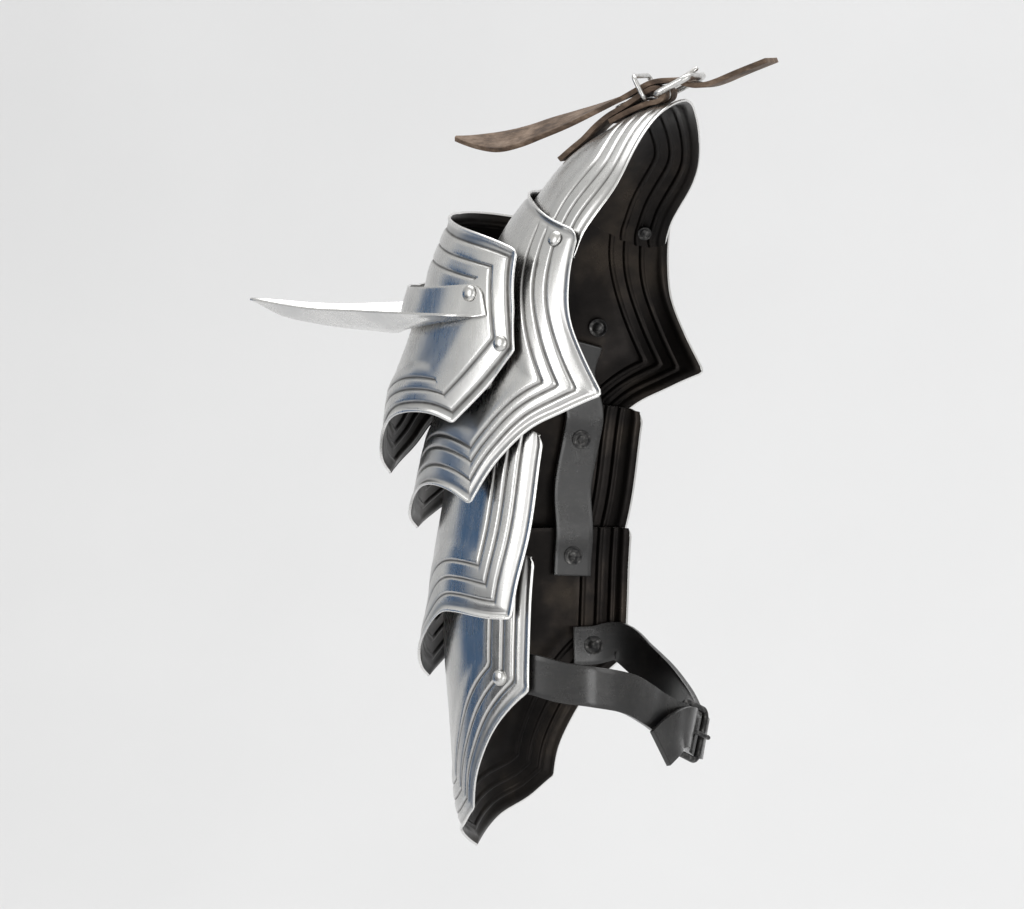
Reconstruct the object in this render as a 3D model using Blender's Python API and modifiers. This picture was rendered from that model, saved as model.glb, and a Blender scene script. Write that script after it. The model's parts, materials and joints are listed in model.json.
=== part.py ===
"""A right shoulder pauldron of fluted steel plates with a stand-off plate and a wing blade.

The origin is the wearer's shoulder point under the top plate. -X points outward along the
shoulder, -Y to the wearer's front and +Z up. Tables are in millimetres, and MM turns them into
Blender's metres.
"""
import math

import bmesh
import bpy
import numpy as np
from mathutils import Matrix, Vector

MM = 0.001

# Driving sizes, in millimetres
SHEET = 1.2
GAP = 0.3
RIB_RISE = 0.8
RIB_SINK = 0.8
LIP_RISE = 1.0
LIP_WIDTH = 5.0
LEATHER = 2.5
STRAP_WIDTH = 20.0
SHANK_RADIUS = 1.9
HEAD_RADIUS = 4.0
DOME_HEIGHT = 2.2
FLAT_HEAD_HEIGHT = 1.0
WASHER_RADIUS = 4.8
WASHER_THICK = 0.9
BUCKLE_WIRE = 1.75
RIVET_SIDES = 8
GRID_PASSES = 40
RAY_START = 30.0
DRILL_EXTRA = 4.0
# Rivets at (along, round) on the surface they stand on
PIVOT_AT = (21.0, 82.0)
STANDOFF_RIVET_AT = (92.0, 87.5)
WING_RIVET_AT = (76.5, 66.0)
LEATHER_RIVETS_AT = ((117.0, 80.0), (-1.0, 83.0), (17.0, 81.5))
PIVOT_WASHER = 3.6
# The pivot shank leans 30 degrees off the hinge axis, so its holes and washer have room to turn.
PIVOT_PLAY = 0.9
PIVOT_CLEAR = 1.1

# Each plate is bent round a middle line. Tilt is the angle of the line's outward normal from +Z
# towards -X in degrees, and half_width and depth are the half axes of the section there.
# Columns of the four spines: x, z, tilt, half_width, depth
TOP_SPINE = (
    (20, 8, 12, 72, 74),
    (-2, 4, 20, 72.5, 74),
    (-20, -4, 30, 73, 75),
    (-44, -20, 40, 74, 76),
    (-59, -37.5, 48, 74, 75),
    (-71.5, -55, 53, 74, 74),
    (-81, -76, 60, 74, 74),
)
MAIN_SPINE = (
    (-44, -17, 39, 77.5, 79),
    (-64, -38, 49, 78.5, 79),
    (-77, -55, 55, 79, 79),
    (-88, -77, 62, 79.5, 79),
    (-103, -120, 69, 80, 80),
    (-117, -157, 73, 81, 81),
    (-125, -190, 77, 83, 83),
    (-128, -207, 80, 84, 84),
)
UPPER_SPINE = (
    (-106, -165, 84, 76.5, 76.5),
    (-111, -198, 84, 77, 77),
    (-115, -220, 84, 78, 78),
    (-118, -246, 86, 79, 79),
    (-121.5, -263, 88, 80, 80),
    (-122, -281, 90, 80, 80),
)
LOWER_SPINE = (
    (-108.5, -212, 90, 73.5, 73.5),
    (-110, -240, 90, 74.5, 74.5),
    (-109.5, -275, 92, 74.5, 74.5),
    (-107, -306, 93, 74.5, 74.5),
    (-105, -333, 95, 75.5, 75.5),
    (-103, -350, 98, 75.5, 75.5),
    (-98, -366, 104, 75.5, 75.5),
)


def smooth(stations, values, where):
    """Read a table's values between its stations, on one smooth curve."""
    stations = np.asarray(stations, float)
    values = np.asarray(values, float)
    where = np.asarray(where, float)
    low = np.clip(np.searchsorted(stations, where, side="right") - 1, 0, len(stations) - 2)
    slope = np.gradient(values, stations, axis=0)
    high = low + 1
    step = (stations[high] - stations[low])[..., None]
    part = (where - stations[low])[..., None] / step
    square, cube = part**2, part**3
    before = (2 * cube - 3 * square + 1) * values[low] + (cube - 2 * square + part) * step * slope[low]
    after = (3 * square - 2 * cube) * values[high] + (cube - square) * step * slope[high]
    return before + after


class Sweep:
    """A surface bent round a middle line, read at (along, round) in millimetres.

    Along runs down the middle line from the spine's first row, and round runs round the section
    from the middle line, plus towards the front.
    """

    def __init__(self, spine):
        self.rows = np.array(spine, float)
        steps = np.hypot(np.diff(self.rows[:, 0]), np.diff(self.rows[:, 1]))
        self.stations = np.concatenate([[0.0], np.cumsum(steps)])

    def at(self, along, around):
        along, around = np.broadcast_arrays(np.asarray(along, float), np.asarray(around, float))
        row = smooth(self.stations, self.rows, along)
        x, z, tilt, half_width, depth = np.moveaxis(row, -1, 0)
        tilt = np.radians(tilt)
        quarter = (half_width + depth) / 2 * math.pi / 2
        turn = np.clip(np.abs(around) / quarter, 0, 1) * math.pi / 2
        leg = np.maximum(np.abs(around) - quarter, 0)
        drop = depth * (1 - np.cos(turn)) + leg
        return np.stack([x + drop * np.sin(tilt),
                         -np.sign(around) * half_width * np.sin(turn),
                         z - drop * np.cos(tilt)], -1)

    def normal(self, along, around):
        step = 0.5
        down = self.at(np.asarray(along) + step, around) - self.at(np.asarray(along) - step, around)
        side = self.at(along, np.asarray(around) + step) - self.at(along, np.asarray(around) - step)
        out = np.cross(down, side)
        return out / np.linalg.norm(out, axis=-1, keepdims=True)


class Raised(Sweep):
    """A surface that stands off another one by a height that depends on the place."""

    def __init__(self, base, height):
        self.base = base
        self.height = height

    def at(self, along, around):
        lift = self.height(np.asarray(along, float), np.asarray(around, float))
        return self.base.at(along, around) + self.base.normal(along, around) * lift[..., None]


STANDOFF_SEAT = 3.4
STANDOFF_BULGE = 24.0
STANDOFF_SEAT_AT = 90.0
STANDOFF_POWER = 1.3
WING_SEAT = 2.5
WING_BULGE = 6.0
WING_SEAT_AT = 66.0


def standoff_height(along, around):
    """The stand-off plate touches near its side corners and bulges away at the middle."""
    part = np.clip(np.abs(around) / STANDOFF_SEAT_AT, 0, 1)
    bulge = np.interp(along, [40, 150, 190], [STANDOFF_BULGE, STANDOFF_BULGE, STANDOFF_BULGE - 8])
    return STANDOFF_SEAT + bulge * (1 - part**2) ** STANDOFF_POWER


def wing_height(along, around):
    """The wing's flange lies on the stand-off plate at its rivets and bridges the middle."""
    part = np.clip(np.abs(around) / WING_SEAT_AT, 0, 1)
    return standoff_height(along, around) + WING_SEAT + WING_BULGE * (1 - part**2)


TOP = Sweep(TOP_SPINE)
MAIN = Sweep(MAIN_SPINE)
UPPER = Sweep(UPPER_SPINE)
LOWER = Sweep(LOWER_SPINE)
STANDOFF = Raised(MAIN, standoff_height)
FLANGE = Raised(MAIN, wing_height)


class Edge:
    """One smooth stretch of a plate's outline, in (along, round), and the creases beside it.

    creases are the distances of the three creases from the edge. shown says which are pressed.
    """

    def __init__(self, points, creases=None, shown=(1, 1, 1), lip=True):
        points = np.array(points, float)
        steps = np.hypot(*np.diff(points, axis=0).T)
        stations = np.concatenate([[0.0], np.cumsum(steps)])
        self.length = stations[-1]
        self.points = smooth(stations, points, np.linspace(0, self.length, 60))
        self.creases = creases
        self.shown = shown
        self.lip = lip

    def at(self, part):
        places = np.linspace(0, 1, len(self.points))
        return np.stack([np.interp(part, places, self.points[:, k]) for k in (0, 1)], -1)

    def distance(self, places):
        start, end = self.points[:-1], self.points[1:]
        run = end - start
        offset = places[..., None, :] - start
        part = np.clip((offset * run).sum(-1) / (run * run).sum(-1), 0, 1)
        return np.linalg.norm(offset - part[..., None] * run, axis=-1).min(-1)

    def count(self, places):
        """Count creases from the edge: 1, 2 and 3 are creases and the halves are crests."""
        if self.creases is None:
            return np.full(places.shape[:-1], 99.0)
        first, second, third = self.creases
        half = (third - first) / 4
        marks = (0, first - half, first, (first + second) / 2, second, (second + third) / 2, third,
                 third + half, third + half + 1000)
        return np.interp(self.distance(places), marks, (0, .5, 1, 1.5, 2, 2.5, 3, 3.5, 3.5 + 500 / half))


class Plate:
    """Half of a plate's outline: its top, side and bottom edges, from the middle line round."""

    def __init__(self, surface, top, side, bottom):
        self.surface = surface
        self.top = top
        self.side = side
        self.bottom = bottom
        self.corner = 0.5 if len(side) == 2 else None

    def side_at(self, part):
        if self.corner is None:
            return self.side[0].at(part)
        return np.where((part < 0.5)[..., None], self.side[0].at(part * 2), self.side[1].at(part * 2 - 1))

    def patch(self, over, down):
        """Map over (0 middle line, 1 side) and down (0 top, 1 bottom) to (along, round)."""
        over, down = np.broadcast_arrays(over, down)
        top, bottom = self.top.at(over), self.bottom.at(over)
        side = self.side_at(down)
        ends = [self.top.at(np.zeros(1))[0], self.top.at(np.ones(1))[0],
                self.bottom.at(np.zeros(1))[0], self.bottom.at(np.ones(1))[0]]
        o, d = over[..., None], down[..., None]
        middle = ends[0] * (1 - d) + ends[2] * d
        flat = (1 - o) * (1 - d) * ends[0] + o * (1 - d) * ends[1] + (1 - o) * d * ends[2] + o * d * ends[3]
        return (1 - d) * top + d * bottom + (1 - o) * middle + o * side - flat

    def side_count(self, places):
        return np.min([edge.count(places) for edge in self.side], axis=0)

    def grid(self, side_lines, free_columns, bottom_lines, free_rows, top_lines):
        """Lay grid lines along the creases: rows from top to bottom, columns from the middle out."""
        columns, rows = len(side_lines) + free_columns, len(top_lines) + free_rows + len(bottom_lines)
        over = np.repeat(np.linspace(0, 1, columns)[None, :], rows, 0)
        down = np.repeat(np.linspace(0, 1, rows)[:, None], columns, 1)
        inner, last_top = free_columns, len(top_lines) - 1
        first_bottom = rows - len(bottom_lines)
        for _ in range(GRID_PASSES):
            places = self.patch(over, down)
            side_count = self.side_count(places)
            for k, line in enumerate(side_lines):
                column = columns - 1 - k
                ratio = np.clip((line + .01) / (side_count[:, column] + .01), .7, 1.4)
                over[:, column] = 1 - (1 - over[:, column]) * ratio if line else 1.0
            over[:, :inner] = over[:, inner:inner + 1] * np.arange(inner) / inner
            bottom_count = self.bottom.count(places)
            for k, line in enumerate(bottom_lines):
                row = rows - 1 - k
                ratio = np.clip((line + .01) / (bottom_count[row] + .01), .7, 1.4)
                down[row] = 1 - (1 - down[row]) * ratio if line else 1.0
            top_count = self.top.count(places)
            for row, line in enumerate(top_lines):
                ratio = np.clip((line + .01) / (top_count[row] + .01), .7, 1.4)
                down[row] = down[row] * ratio if line else 0.0
            over, down = np.clip(over, 0, 1), np.clip(down, 0, 1)
            known = [last_top, first_bottom]
            if self.corner and free_rows > 1:
                share = (self.corner - down[last_top, -1]) / (down[first_bottom, -1] - down[last_top, -1])
                corner_row = last_top + round(np.clip(share, .01, .99) * (first_bottom - last_top))
                corner_row = min(max(corner_row, last_top + 1), first_bottom - 1)
                down[corner_row] = self.corner
                known.insert(1, corner_row)
            for row in range(last_top + 1, first_bottom):
                after = next(k for k in known if k >= row)
                before = max(k for k in known if k < row)
                part = (row - before) / (after - before)
                down[row] = down[before] * (1 - part) + down[after] * part
        return self.patch(over, down)

    def relief(self, places):
        """Height of the pressed ribs, creases and raised lip over the plain surface."""
        edges = [*self.side, self.bottom, self.top]
        counts = np.stack([edge.count(places) for edge in edges])
        nearest, count = counts.argmin(0), counts.min(0)
        shown = np.array([edge.shown for edge in edges])
        crease = np.clip(np.round(count), 1, 3).astype(int) - 1
        pressed = shown[nearest, crease]
        groove = np.abs(np.cos(math.pi * count)) * ((count > .5) & (count < 3.5)) * pressed
        inward = np.clip(count - 3.5, 0, 1)
        height = RIB_RISE * (1 - inward) - (RIB_RISE + RIB_SINK) * groove
        near = np.min([edge.distance(places) for edge in edges if edge.lip], axis=0)
        return height + LIP_RISE * np.clip(1 - near / LIP_WIDTH, 0, 1)

    def shape(self, places):
        along, around = places[..., 0], places[..., 1]
        lift = self.relief(places)[..., None]
        return self.surface.at(along, around) + self.surface.normal(along, around) * lift


TOP_PLATE = Plate(
    TOP,
    top=Edge([(5, 0), (9.5, 23), (32, 69.5), (63, 85), (72, 87.5), (88, 92)], (9.5, 17, 25)),
    side=[Edge([(88, 92), (96, 86), (101, 78), (103, 69), (103.7, 60)], lip=False)],
    bottom=Edge([(104, 0), (104, 30), (103.7, 60)], lip=False))
MAIN_PLATE = Plate(
    MAIN,
    top=Edge([(29, 0), (24.5, 36), (15, 72.5), (4, 90)]),
    side=[Edge([(4, 90), (30.5, 104), (49.5, 115.5), (72, 132), (90, 147.5)], (15, 24, 32)),
          Edge([(90, 147.5), (109.5, 131.5), (127.5, 117.5), (149.5, 108), (181, 99)], (8, 13.6, 18.7))],
    bottom=Edge([(216, 0), (204, 27), (192, 41.5), (180.5, 65.5), (178.5, 82.5), (181, 99)], (11, 20, 26.5)))
STANDOFF_PLATE = Plate(
    STANDOFF,
    top=Edge([(59, 0), (57.5, 20), (55, 36), (40.5, 76)], (5.5, 13.5, 21.5)),
    side=[Edge([(40.5, 76), (66, 86.5), (91, 97.5)], (4.5, 13.5, 21.5), (1, 1, 0)),
          Edge([(91, 97.5), (117, 88), (143.5, 78)], (4.5, 13.5, 21.5), (1, 1, 0))],
    bottom=Edge([(192, 0), (178.5, 20), (168, 28), (149.5, 52.5), (144, 67), (143.5, 78)], (5, 11.5, 17.5)))
UPPER_LAME = Plate(
    UPPER,
    top=Edge([(-20, 0), (-20, 60), (-18.5, 114)], lip=False),
    side=[Edge([(-18.5, 114), (30, 115), (77, 113)], (12, 19, 26))],
    bottom=Edge([(124, 0), (117, 16), (100, 41), (80, 67.5), (79, 75.5), (78.5, 100.5), (77, 113)],
                (9.5, 18, 26.5)))
LOWER_LAME = Plate(
    LOWER,
    top=Edge([(3, 0), (3, 60), (3, 112)], lip=False),
    side=[Edge([(3, 112), (38, 112), (73, 110)], (9, 16, 24)),
          Edge([(73, 110), (80, 101), (93, 88), (108, 78), (122, 71), (137, 67)], (9, 16, 24))],
    bottom=Edge([(163, 0), (152, 28), (146, 51), (137, 67)], (9, 16, 24)))

# Grid lines of a creased edge, in creases counted from it
CREASE_LINES = (0, .5, 1, 1.5, 2, 2.5, 3, 3.5)


def material(name, colour, roughness, metallic):
    made = bpy.data.materials.new(name)
    made.use_nodes = True
    shader = made.node_tree.nodes["Principled BSDF"]
    shader.inputs["Base Color"].default_value = (*colour, 1)
    shader.inputs["Roughness"].default_value = roughness
    shader.inputs["Metallic"].default_value = metallic
    return made


def add_object(name, mesh, finish, parent=None, collection="pauldron"):
    """Put a mesh in the scene under its plain name, with its material and its joint's empty."""
    made = bpy.data.objects.new(name, mesh)
    bpy.data.collections[collection].objects.link(made)
    if finish:
        mesh.materials.append(finish)
    if parent:
        made.parent = parent
        made.matrix_parent_inverse = parent.matrix_world.inverted()
    return made


def sheet(name, points, thickness, finish, parent=None, mirrored=False, offset=-1.0, tab_rows=None):
    """Bend a grid primitive to rows and columns of points, and give it thickness with Solidify.

    With tab_rows, the last column is kept over that many rows only.
    """
    rows, columns = points.shape[:2]
    bm = bmesh.new()
    bmesh.ops.create_grid(bm, x_segments=rows - 1, y_segments=columns - 1, size=1)
    if tab_rows:
        row_edge = 2 * tab_rows / (rows - 1) - 1
        column_edge = 2 * (columns - 2) / (columns - 1) - 1
        beyond = [face for face in bm.faces if face.calc_center_median().x > row_edge
                  and face.calc_center_median().y > column_edge]
        bmesh.ops.delete(bm, geom=beyond, context="FACES")
    for vertex in bm.verts:
        row = round((vertex.co.x + 1) / 2 * (rows - 1))
        column = round((vertex.co.y + 1) / 2 * (columns - 1))
        vertex.co = Vector(points[row, column]) * MM
    mesh = bpy.data.meshes.new(name)
    bm.to_mesh(mesh)
    bm.free()
    made = add_object(name, mesh, finish, parent)
    if mirrored:
        mirror = made.modifiers.new("Mirror", "MIRROR")
        mirror.use_axis = (False, True, False)
        mirror.merge_threshold = 0.0001
    solidify = made.modifiers.new("Solidify", "SOLIDIFY")
    solidify.thickness = thickness * MM
    solidify.offset = offset
    return made


def plate_object(name, plate, finish, parent, free_columns, free_rows, top_lines=(0,),
                 side_lines=CREASE_LINES, bottom_lines=CREASE_LINES):
    """A plate whose grid lines follow its creases, bent round its surface."""
    places = plate.grid(side_lines, free_columns, bottom_lines, free_rows, top_lines)
    points = plate.shape(places)
    points[:, 0, 1] = 0
    return sheet(name, points, SHEET, finish, parent, mirrored=True)


def ribbon_points(stations, across, parts):
    """Rows of points along a strap: stations are (centre, width direction, half width)."""
    centres = np.array([row[0] for row in stations], float)
    guides = np.array([row[1] for row in stations], float)
    halves = np.array([[row[2]] for row in stations], float)
    steps = np.linalg.norm(np.diff(centres, axis=0), axis=1)
    marks = np.concatenate([[0.0], np.cumsum(steps)])
    where = np.interp(np.arange((len(marks) - 1) * parts + 1) / parts, np.arange(len(marks)), marks)
    centre, guide, half = (smooth(marks, table, where) for table in (centres, guides, halves))
    run = np.gradient(centre, axis=0)
    run /= np.linalg.norm(run, axis=1, keepdims=True)
    guide -= run * (guide * run).sum(1, keepdims=True)
    guide /= np.linalg.norm(guide, axis=1, keepdims=True)
    spread = np.linspace(-1, 1, across)[None, :, None]
    return centre[:, None] + guide[:, None] * half[:, None] * spread


def wire(name, path, radius, finish, parent=None, cyclic=False, resolution=2):
    """A round wire along a path in millimetres, made a mesh with its caps welded."""
    curve = bpy.data.curves.new(name, "CURVE")
    curve.dimensions = "3D"
    curve.bevel_depth = radius * MM
    curve.bevel_resolution = resolution
    curve.use_fill_caps = not cyclic
    spline = curve.splines.new("POLY")
    spline.points.add(len(path) - 1)
    for point, place in zip(spline.points, path):
        point.co = (*(Vector(place) * MM), 1)
    spline.use_cyclic_u = cyclic
    guide = bpy.data.objects.new(name + "_path", curve)
    bpy.context.scene.collection.objects.link(guide)
    bpy.context.view_layer.update()
    mesh = bpy.data.meshes.new_from_object(guide.evaluated_get(bpy.context.evaluated_depsgraph_get()))
    bpy.data.objects.remove(guide)
    bm = bmesh.new()
    bm.from_mesh(mesh)
    bmesh.ops.remove_doubles(bm, verts=bm.verts, dist=0.00001)
    bmesh.ops.recalc_face_normals(bm, faces=bm.faces)
    bm.to_mesh(mesh)
    bm.free()
    mesh.materials.clear()
    return add_object(name, mesh, finish, parent)


def loop_path(centre, long_way, wide_way, length, width, corner, turns=3):
    """A rectangle with round corners, as points round a centre."""
    centre, long_way, wide_way = (np.array(v, float) for v in (centre, long_way, wide_way))
    path = []
    for sign_a, sign_b, start in ((1, 1, 0), (-1, 1, 90), (-1, -1, 180), (1, -1, 270)):
        middle = (sign_a * (length / 2 - corner), sign_b * (width / 2 - corner))
        for k in range(turns + 1):
            angle = math.radians(start + 90 * k / turns)
            a = middle[0] + corner * math.cos(angle)
            b = middle[1] + corner * math.sin(angle)
            path.append(tuple(centre + long_way * a + wide_way * b))
    return path


# The wing's flange in the stand-off plate's (along, round): its upper and lower edges from the
# middle out. The blade leaves the lower edge over its first part, and the rest is the rivet's tab.
FLANGE_TOP = ((97, 0), (93, 25), (81, 52), (69, 69))
FLANGE_LOW = ((122.5, 0), (114.5, 28), (97, 56), (81.5, 77))
WING_ROOT = 0.87
# The blade's middle and its front edge, from the flange to the tip
# Columns: share of the way out, keel_x, keel_z, edge_x, edge_y, edge_z
WING_EDGE = (
    (0.06, -140.5, -110.3, -78, -78, -96.2),
    (0.2, -152, -109.6, -93, -74.5, -96.2),
    (0.4, -170, -108.3, -122, -57, -97),
    (0.6, -187, -106.2, -153, -35.5, -97.8),
    (0.8, -204, -102.8, -184, -17, -98.2),
    (1.0, -221, -95, -221, -1.5, -95),
)


def wing_points(columns, flange_rows, blade_rows):
    """The flange follows the stand-off plate, and the blade runs from its lower edge to the tip."""
    part = np.append(np.linspace(0, WING_ROOT, columns - 1), 1.0)
    top, low = Edge(FLANGE_TOP).at(part), Edge(FLANGE_LOW).at(part)
    rows = []
    for down in np.linspace(0, 1, flange_rows):
        places = top * (1 - down) + low * down
        rows.append(FLANGE.at(places[:, 0], places[:, 1]))
    root = rows[-1]
    over = np.append(np.linspace(0, 1, columns - 1), 1.0)[:, None]
    bend = root - root[0] * (1 - over) - root[-2] * over
    keel = np.array([(x, 0, z) for _, x, z, _, _, _ in WING_EDGE])
    keel = np.vstack([root[0], keel])
    edge = np.vstack([root[-2], [row[3:] for row in WING_EDGE]])
    marks = [0.0] + [row[0] for row in WING_EDGE]
    for out in np.linspace(0, 1, blade_rows + 1)[1:]:
        straight = smooth(marks, keel, out) * (1 - over) + smooth(marks, edge, out) * over
        rows.append(straight + bend * (1 - out)**4)
    points = np.array(rows)
    points[:, 0, 1] = 0
    return points


# Straps are read along their length. The shoulder buckle's bar stands over the top plate.
BAR_ALONG, BAR_HEIGHT = 17.0, 5.8
BUCKLE_SLOPE = 27.0
BUCKLE_LENGTH, BUCKLE_WIDTH, BUCKLE_CORNER = 20.0, 26.0, 4.0
FOLD_RADIUS = BUCKLE_WIRE + GAP + LEATHER / 2
PRONG_WIRE = 1.2
KEEPER_WIRE = 1.25
KEEPER_ALONG, KEEPER_FOOT = 22.5, 5.5
KEEPER_HEIGHT, KEEPER_CORNER, KEEPER_PLAY = 12.2, 2.5, 0.7
KEEPER_RISE = (-0.456, 0, 0.89)
# Sizes along the buckle, across it and up, and places (along, up) from the buckle's bar
SLOT_SIZE = (9.2, 4.2, 13.0)
SLOT_AT = (3.0, 0.6)
PRONG_HOLE_SIZE = (13.0, 3.6, 14.0)
PRONG_HOLE_AT = (11.6, 2.0)
ARM_PRONG_HOLE_AT = (12.0, 3.0)
# Columns: along the top plate's middle line, height over it
CHAPE_UPPER = ((76, 2.5), (68, 2.0), (60, 2.2), (51, 4.2), (43, 5.5), (36, 5.8), (29, 6.8), (22.5, 8.4))
CHAPE_LOWER = ((22, 2.6), (29, 2.6), (36, 2.6), (44, 2.6))
CHAPE_RIVET_ALONG = 37.0
# Columns: x, z, twist in degrees, half_width
HANGING_STRAP = (
    (59, 28.2, 0, 10),
    (53, 25.9, 0, 10),
    (47, 23.6, 0, 10),
    (40, 20.8, 0, 10),
    (33, 17.9, 0, 10),
    (27, 16.1, 0, 10),
    (21.5, 15.6, 0, 10),
    (16.5, 16.6, 0, 10),
    (11, 17.9, 0, 10),
    (5, 18.0, 0, 10),
    (-1, 16.9, 0, 10),
    (-7, 14.4, 2, 10),
    (-16.7, 9.8, 6, 10),
    (-30.6, 4.0, 12, 10),
    (-45.8, -1.8, 20, 10),
    (-59.3, -6.4, 25, 10),
    (-71.3, -10.6, 27, 10),
    (-82.7, -13.2, 27, 9.6),
    (-95, -13.4, 25, 6.4),
    (-103, -12.8, 24, 3.2),
    (-108.6, -12.0, 24, 0.9),
)


def on_top(along, height):
    """A point over the top plate's middle line."""
    return TOP.at(along, 0.0) + TOP.normal(along, 0.0) * height


def fold(centre, first_way, second_way, start, end, turns=5):
    """Points of a strap's fold round a bar, from one angle to another in degrees."""
    first_way, second_way = np.array(first_way), np.array(second_way)
    return [np.array(centre) + FOLD_RADIUS * (math.cos(a) * first_way + math.sin(a) * second_way)
            for a in np.radians(np.linspace(start, end, turns))]


def prong_path(bar, long_way, up_way, length):
    """A prong hooks round the bar and rests on the far side of the frame."""
    hook = BUCKLE_WIRE + GAP + PRONG_WIRE
    path = [bar + hook * (math.cos(a) * long_way + math.sin(a) * up_way)
            for a in np.radians(np.linspace(-60, 30, 4))]
    path.append(bar + long_way * length * 0.55 + up_way * (hook - 1.0))
    path.append(bar + long_way * (length + 1.5) + up_way * (hook + 0.05))
    return [tuple(place) for place in path]


def strap(name, stations, finish, parent=None):
    """A flat length of leather, thickened both ways from its middle."""
    return sheet(name, ribbon_points(stations, 2, 2), LEATHER, finish, parent, offset=0.0)


def shoulder_straps(leather, steel):
    """The chape and its buckle on the top plate, the keeper ring and the hanging strap."""
    wide = (0.0, 1.0, 0.0)
    bar = on_top(BAR_ALONG, BAR_HEIGHT)
    slope = math.radians(BUCKLE_SLOPE)
    long_way = np.array([math.cos(slope), 0, math.sin(slope)])
    up_way = np.array([-math.sin(slope), 0, math.cos(slope)])
    half = STRAP_WIDTH / 2
    path = [on_top(*row) for row in CHAPE_UPPER]
    path += fold(bar, (1, 0, 0), (0, 0, 1), 100, -80)
    path += [on_top(*row) for row in CHAPE_LOWER]
    chape = strap("chape_strap", [(place, wide, half) for place in path], leather)
    frame_path = loop_path(bar + long_way * BUCKLE_LENGTH / 2, long_way, wide, BUCKLE_LENGTH, BUCKLE_WIDTH,
                           BUCKLE_CORNER)
    wire("shoulder_buckle", frame_path, BUCKLE_WIRE, steel, cyclic=True)
    wire("shoulder_prong", prong_path(bar, long_way, up_way, BUCKLE_LENGTH), PRONG_WIRE, steel)
    ways = (long_way, wide, up_way)
    slot_at = bar + long_way * SLOT_AT[0] + up_way * SLOT_AT[1]
    cut(chape, block_cutter("chape_slot", slot_at, ways, SLOT_SIZE))
    rise = np.array(KEEPER_RISE)
    ring_centre = on_top(KEEPER_ALONG, KEEPER_FOOT) + rise * KEEPER_HEIGHT / 2
    ring_width = 2 * (half + GAP + KEEPER_WIRE + KEEPER_PLAY)
    wire("strap_keeper", loop_path(ring_centre, rise, wide, KEEPER_HEIGHT, ring_width, KEEPER_CORNER),
         KEEPER_WIRE, steel, cyclic=True)
    stations = []
    for x, z, twist, half_width in HANGING_STRAP:
        twist = math.radians(twist)
        stations.append(((x, 0, z), (0, math.cos(twist), math.sin(twist)), half_width))
    hanging = strap("hanging_strap", stations, leather)
    hole_at = bar + long_way * PRONG_HOLE_AT[0] + up_way * PRONG_HOLE_AT[1]
    cut(hanging, block_cutter("prong_hole", hole_at, ways, PRONG_HOLE_SIZE))
    return chape


# The inner leathers hang the lames: each station lies under a plate's inner face.
LEATHER_INSET = SHEET + RIB_SINK + GAP + LEATHER / 2
# Columns: surface, along, round, extra depth
LEATHER_STATIONS = (
    (MAIN, 103, 80, 1.0),
    (MAIN, *LEATHER_RIVETS_AT[0], 1.0),
    (UPPER, -12, 83, 2.1),
    (UPPER, *LEATHER_RIVETS_AT[1], 1.5),
    (UPPER, 25, 82, 2.8),
    (LOWER, 7, 81.5, 1.5),
    (LOWER, *LEATHER_RIVETS_AT[2], 1.1),
    (LOWER, 28, 81.5, 1.1),
)


def surface_way(surface, along, around):
    """The direction round a surface at a place."""
    way = surface.at(along, around + 0.5) - surface.at(along, around - 0.5)
    return way / np.linalg.norm(way)


def inner_leather(name, sign, leather, arm):
    """The leather that hangs both lames inside one side of the main plate."""
    stations = []
    for surface, along, around, extra in LEATHER_STATIONS:
        around = around * sign
        place = surface.at(along, around) - surface.normal(along, around) * (LEATHER_INSET + extra)
        stations.append((place, surface_way(surface, along, around), STRAP_WIDTH / 2))
    return strap(name, stations, leather, arm)


def reach(place, axis, layers, radius):
    """Height of the farthest layer face under a disc round a place, along an axis, in millimetres."""
    graph = bpy.context.evaluated_depsgraph_get()
    place, axis = Vector(place) * MM, Vector(axis).normalized()
    across = axis.orthogonal().normalized()
    spots = [place]
    for k in range(12):
        angle = math.tau * k / 12
        turned = across * math.cos(angle) + axis.cross(across) * math.sin(angle)
        spots += [place + turned * radius * MM, place + turned * radius * MM / 2]
    start = axis * RAY_START * MM
    heights = []
    for layer in layers:
        solid = layer.evaluated_get(graph)
        for spot in spots:
            hit, where, _, _ = solid.ray_cast(spot + start, -axis, distance=2 * start.length)
            if hit:
                heights.append((where - place).dot(axis) / MM)
    return max(heights)


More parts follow.
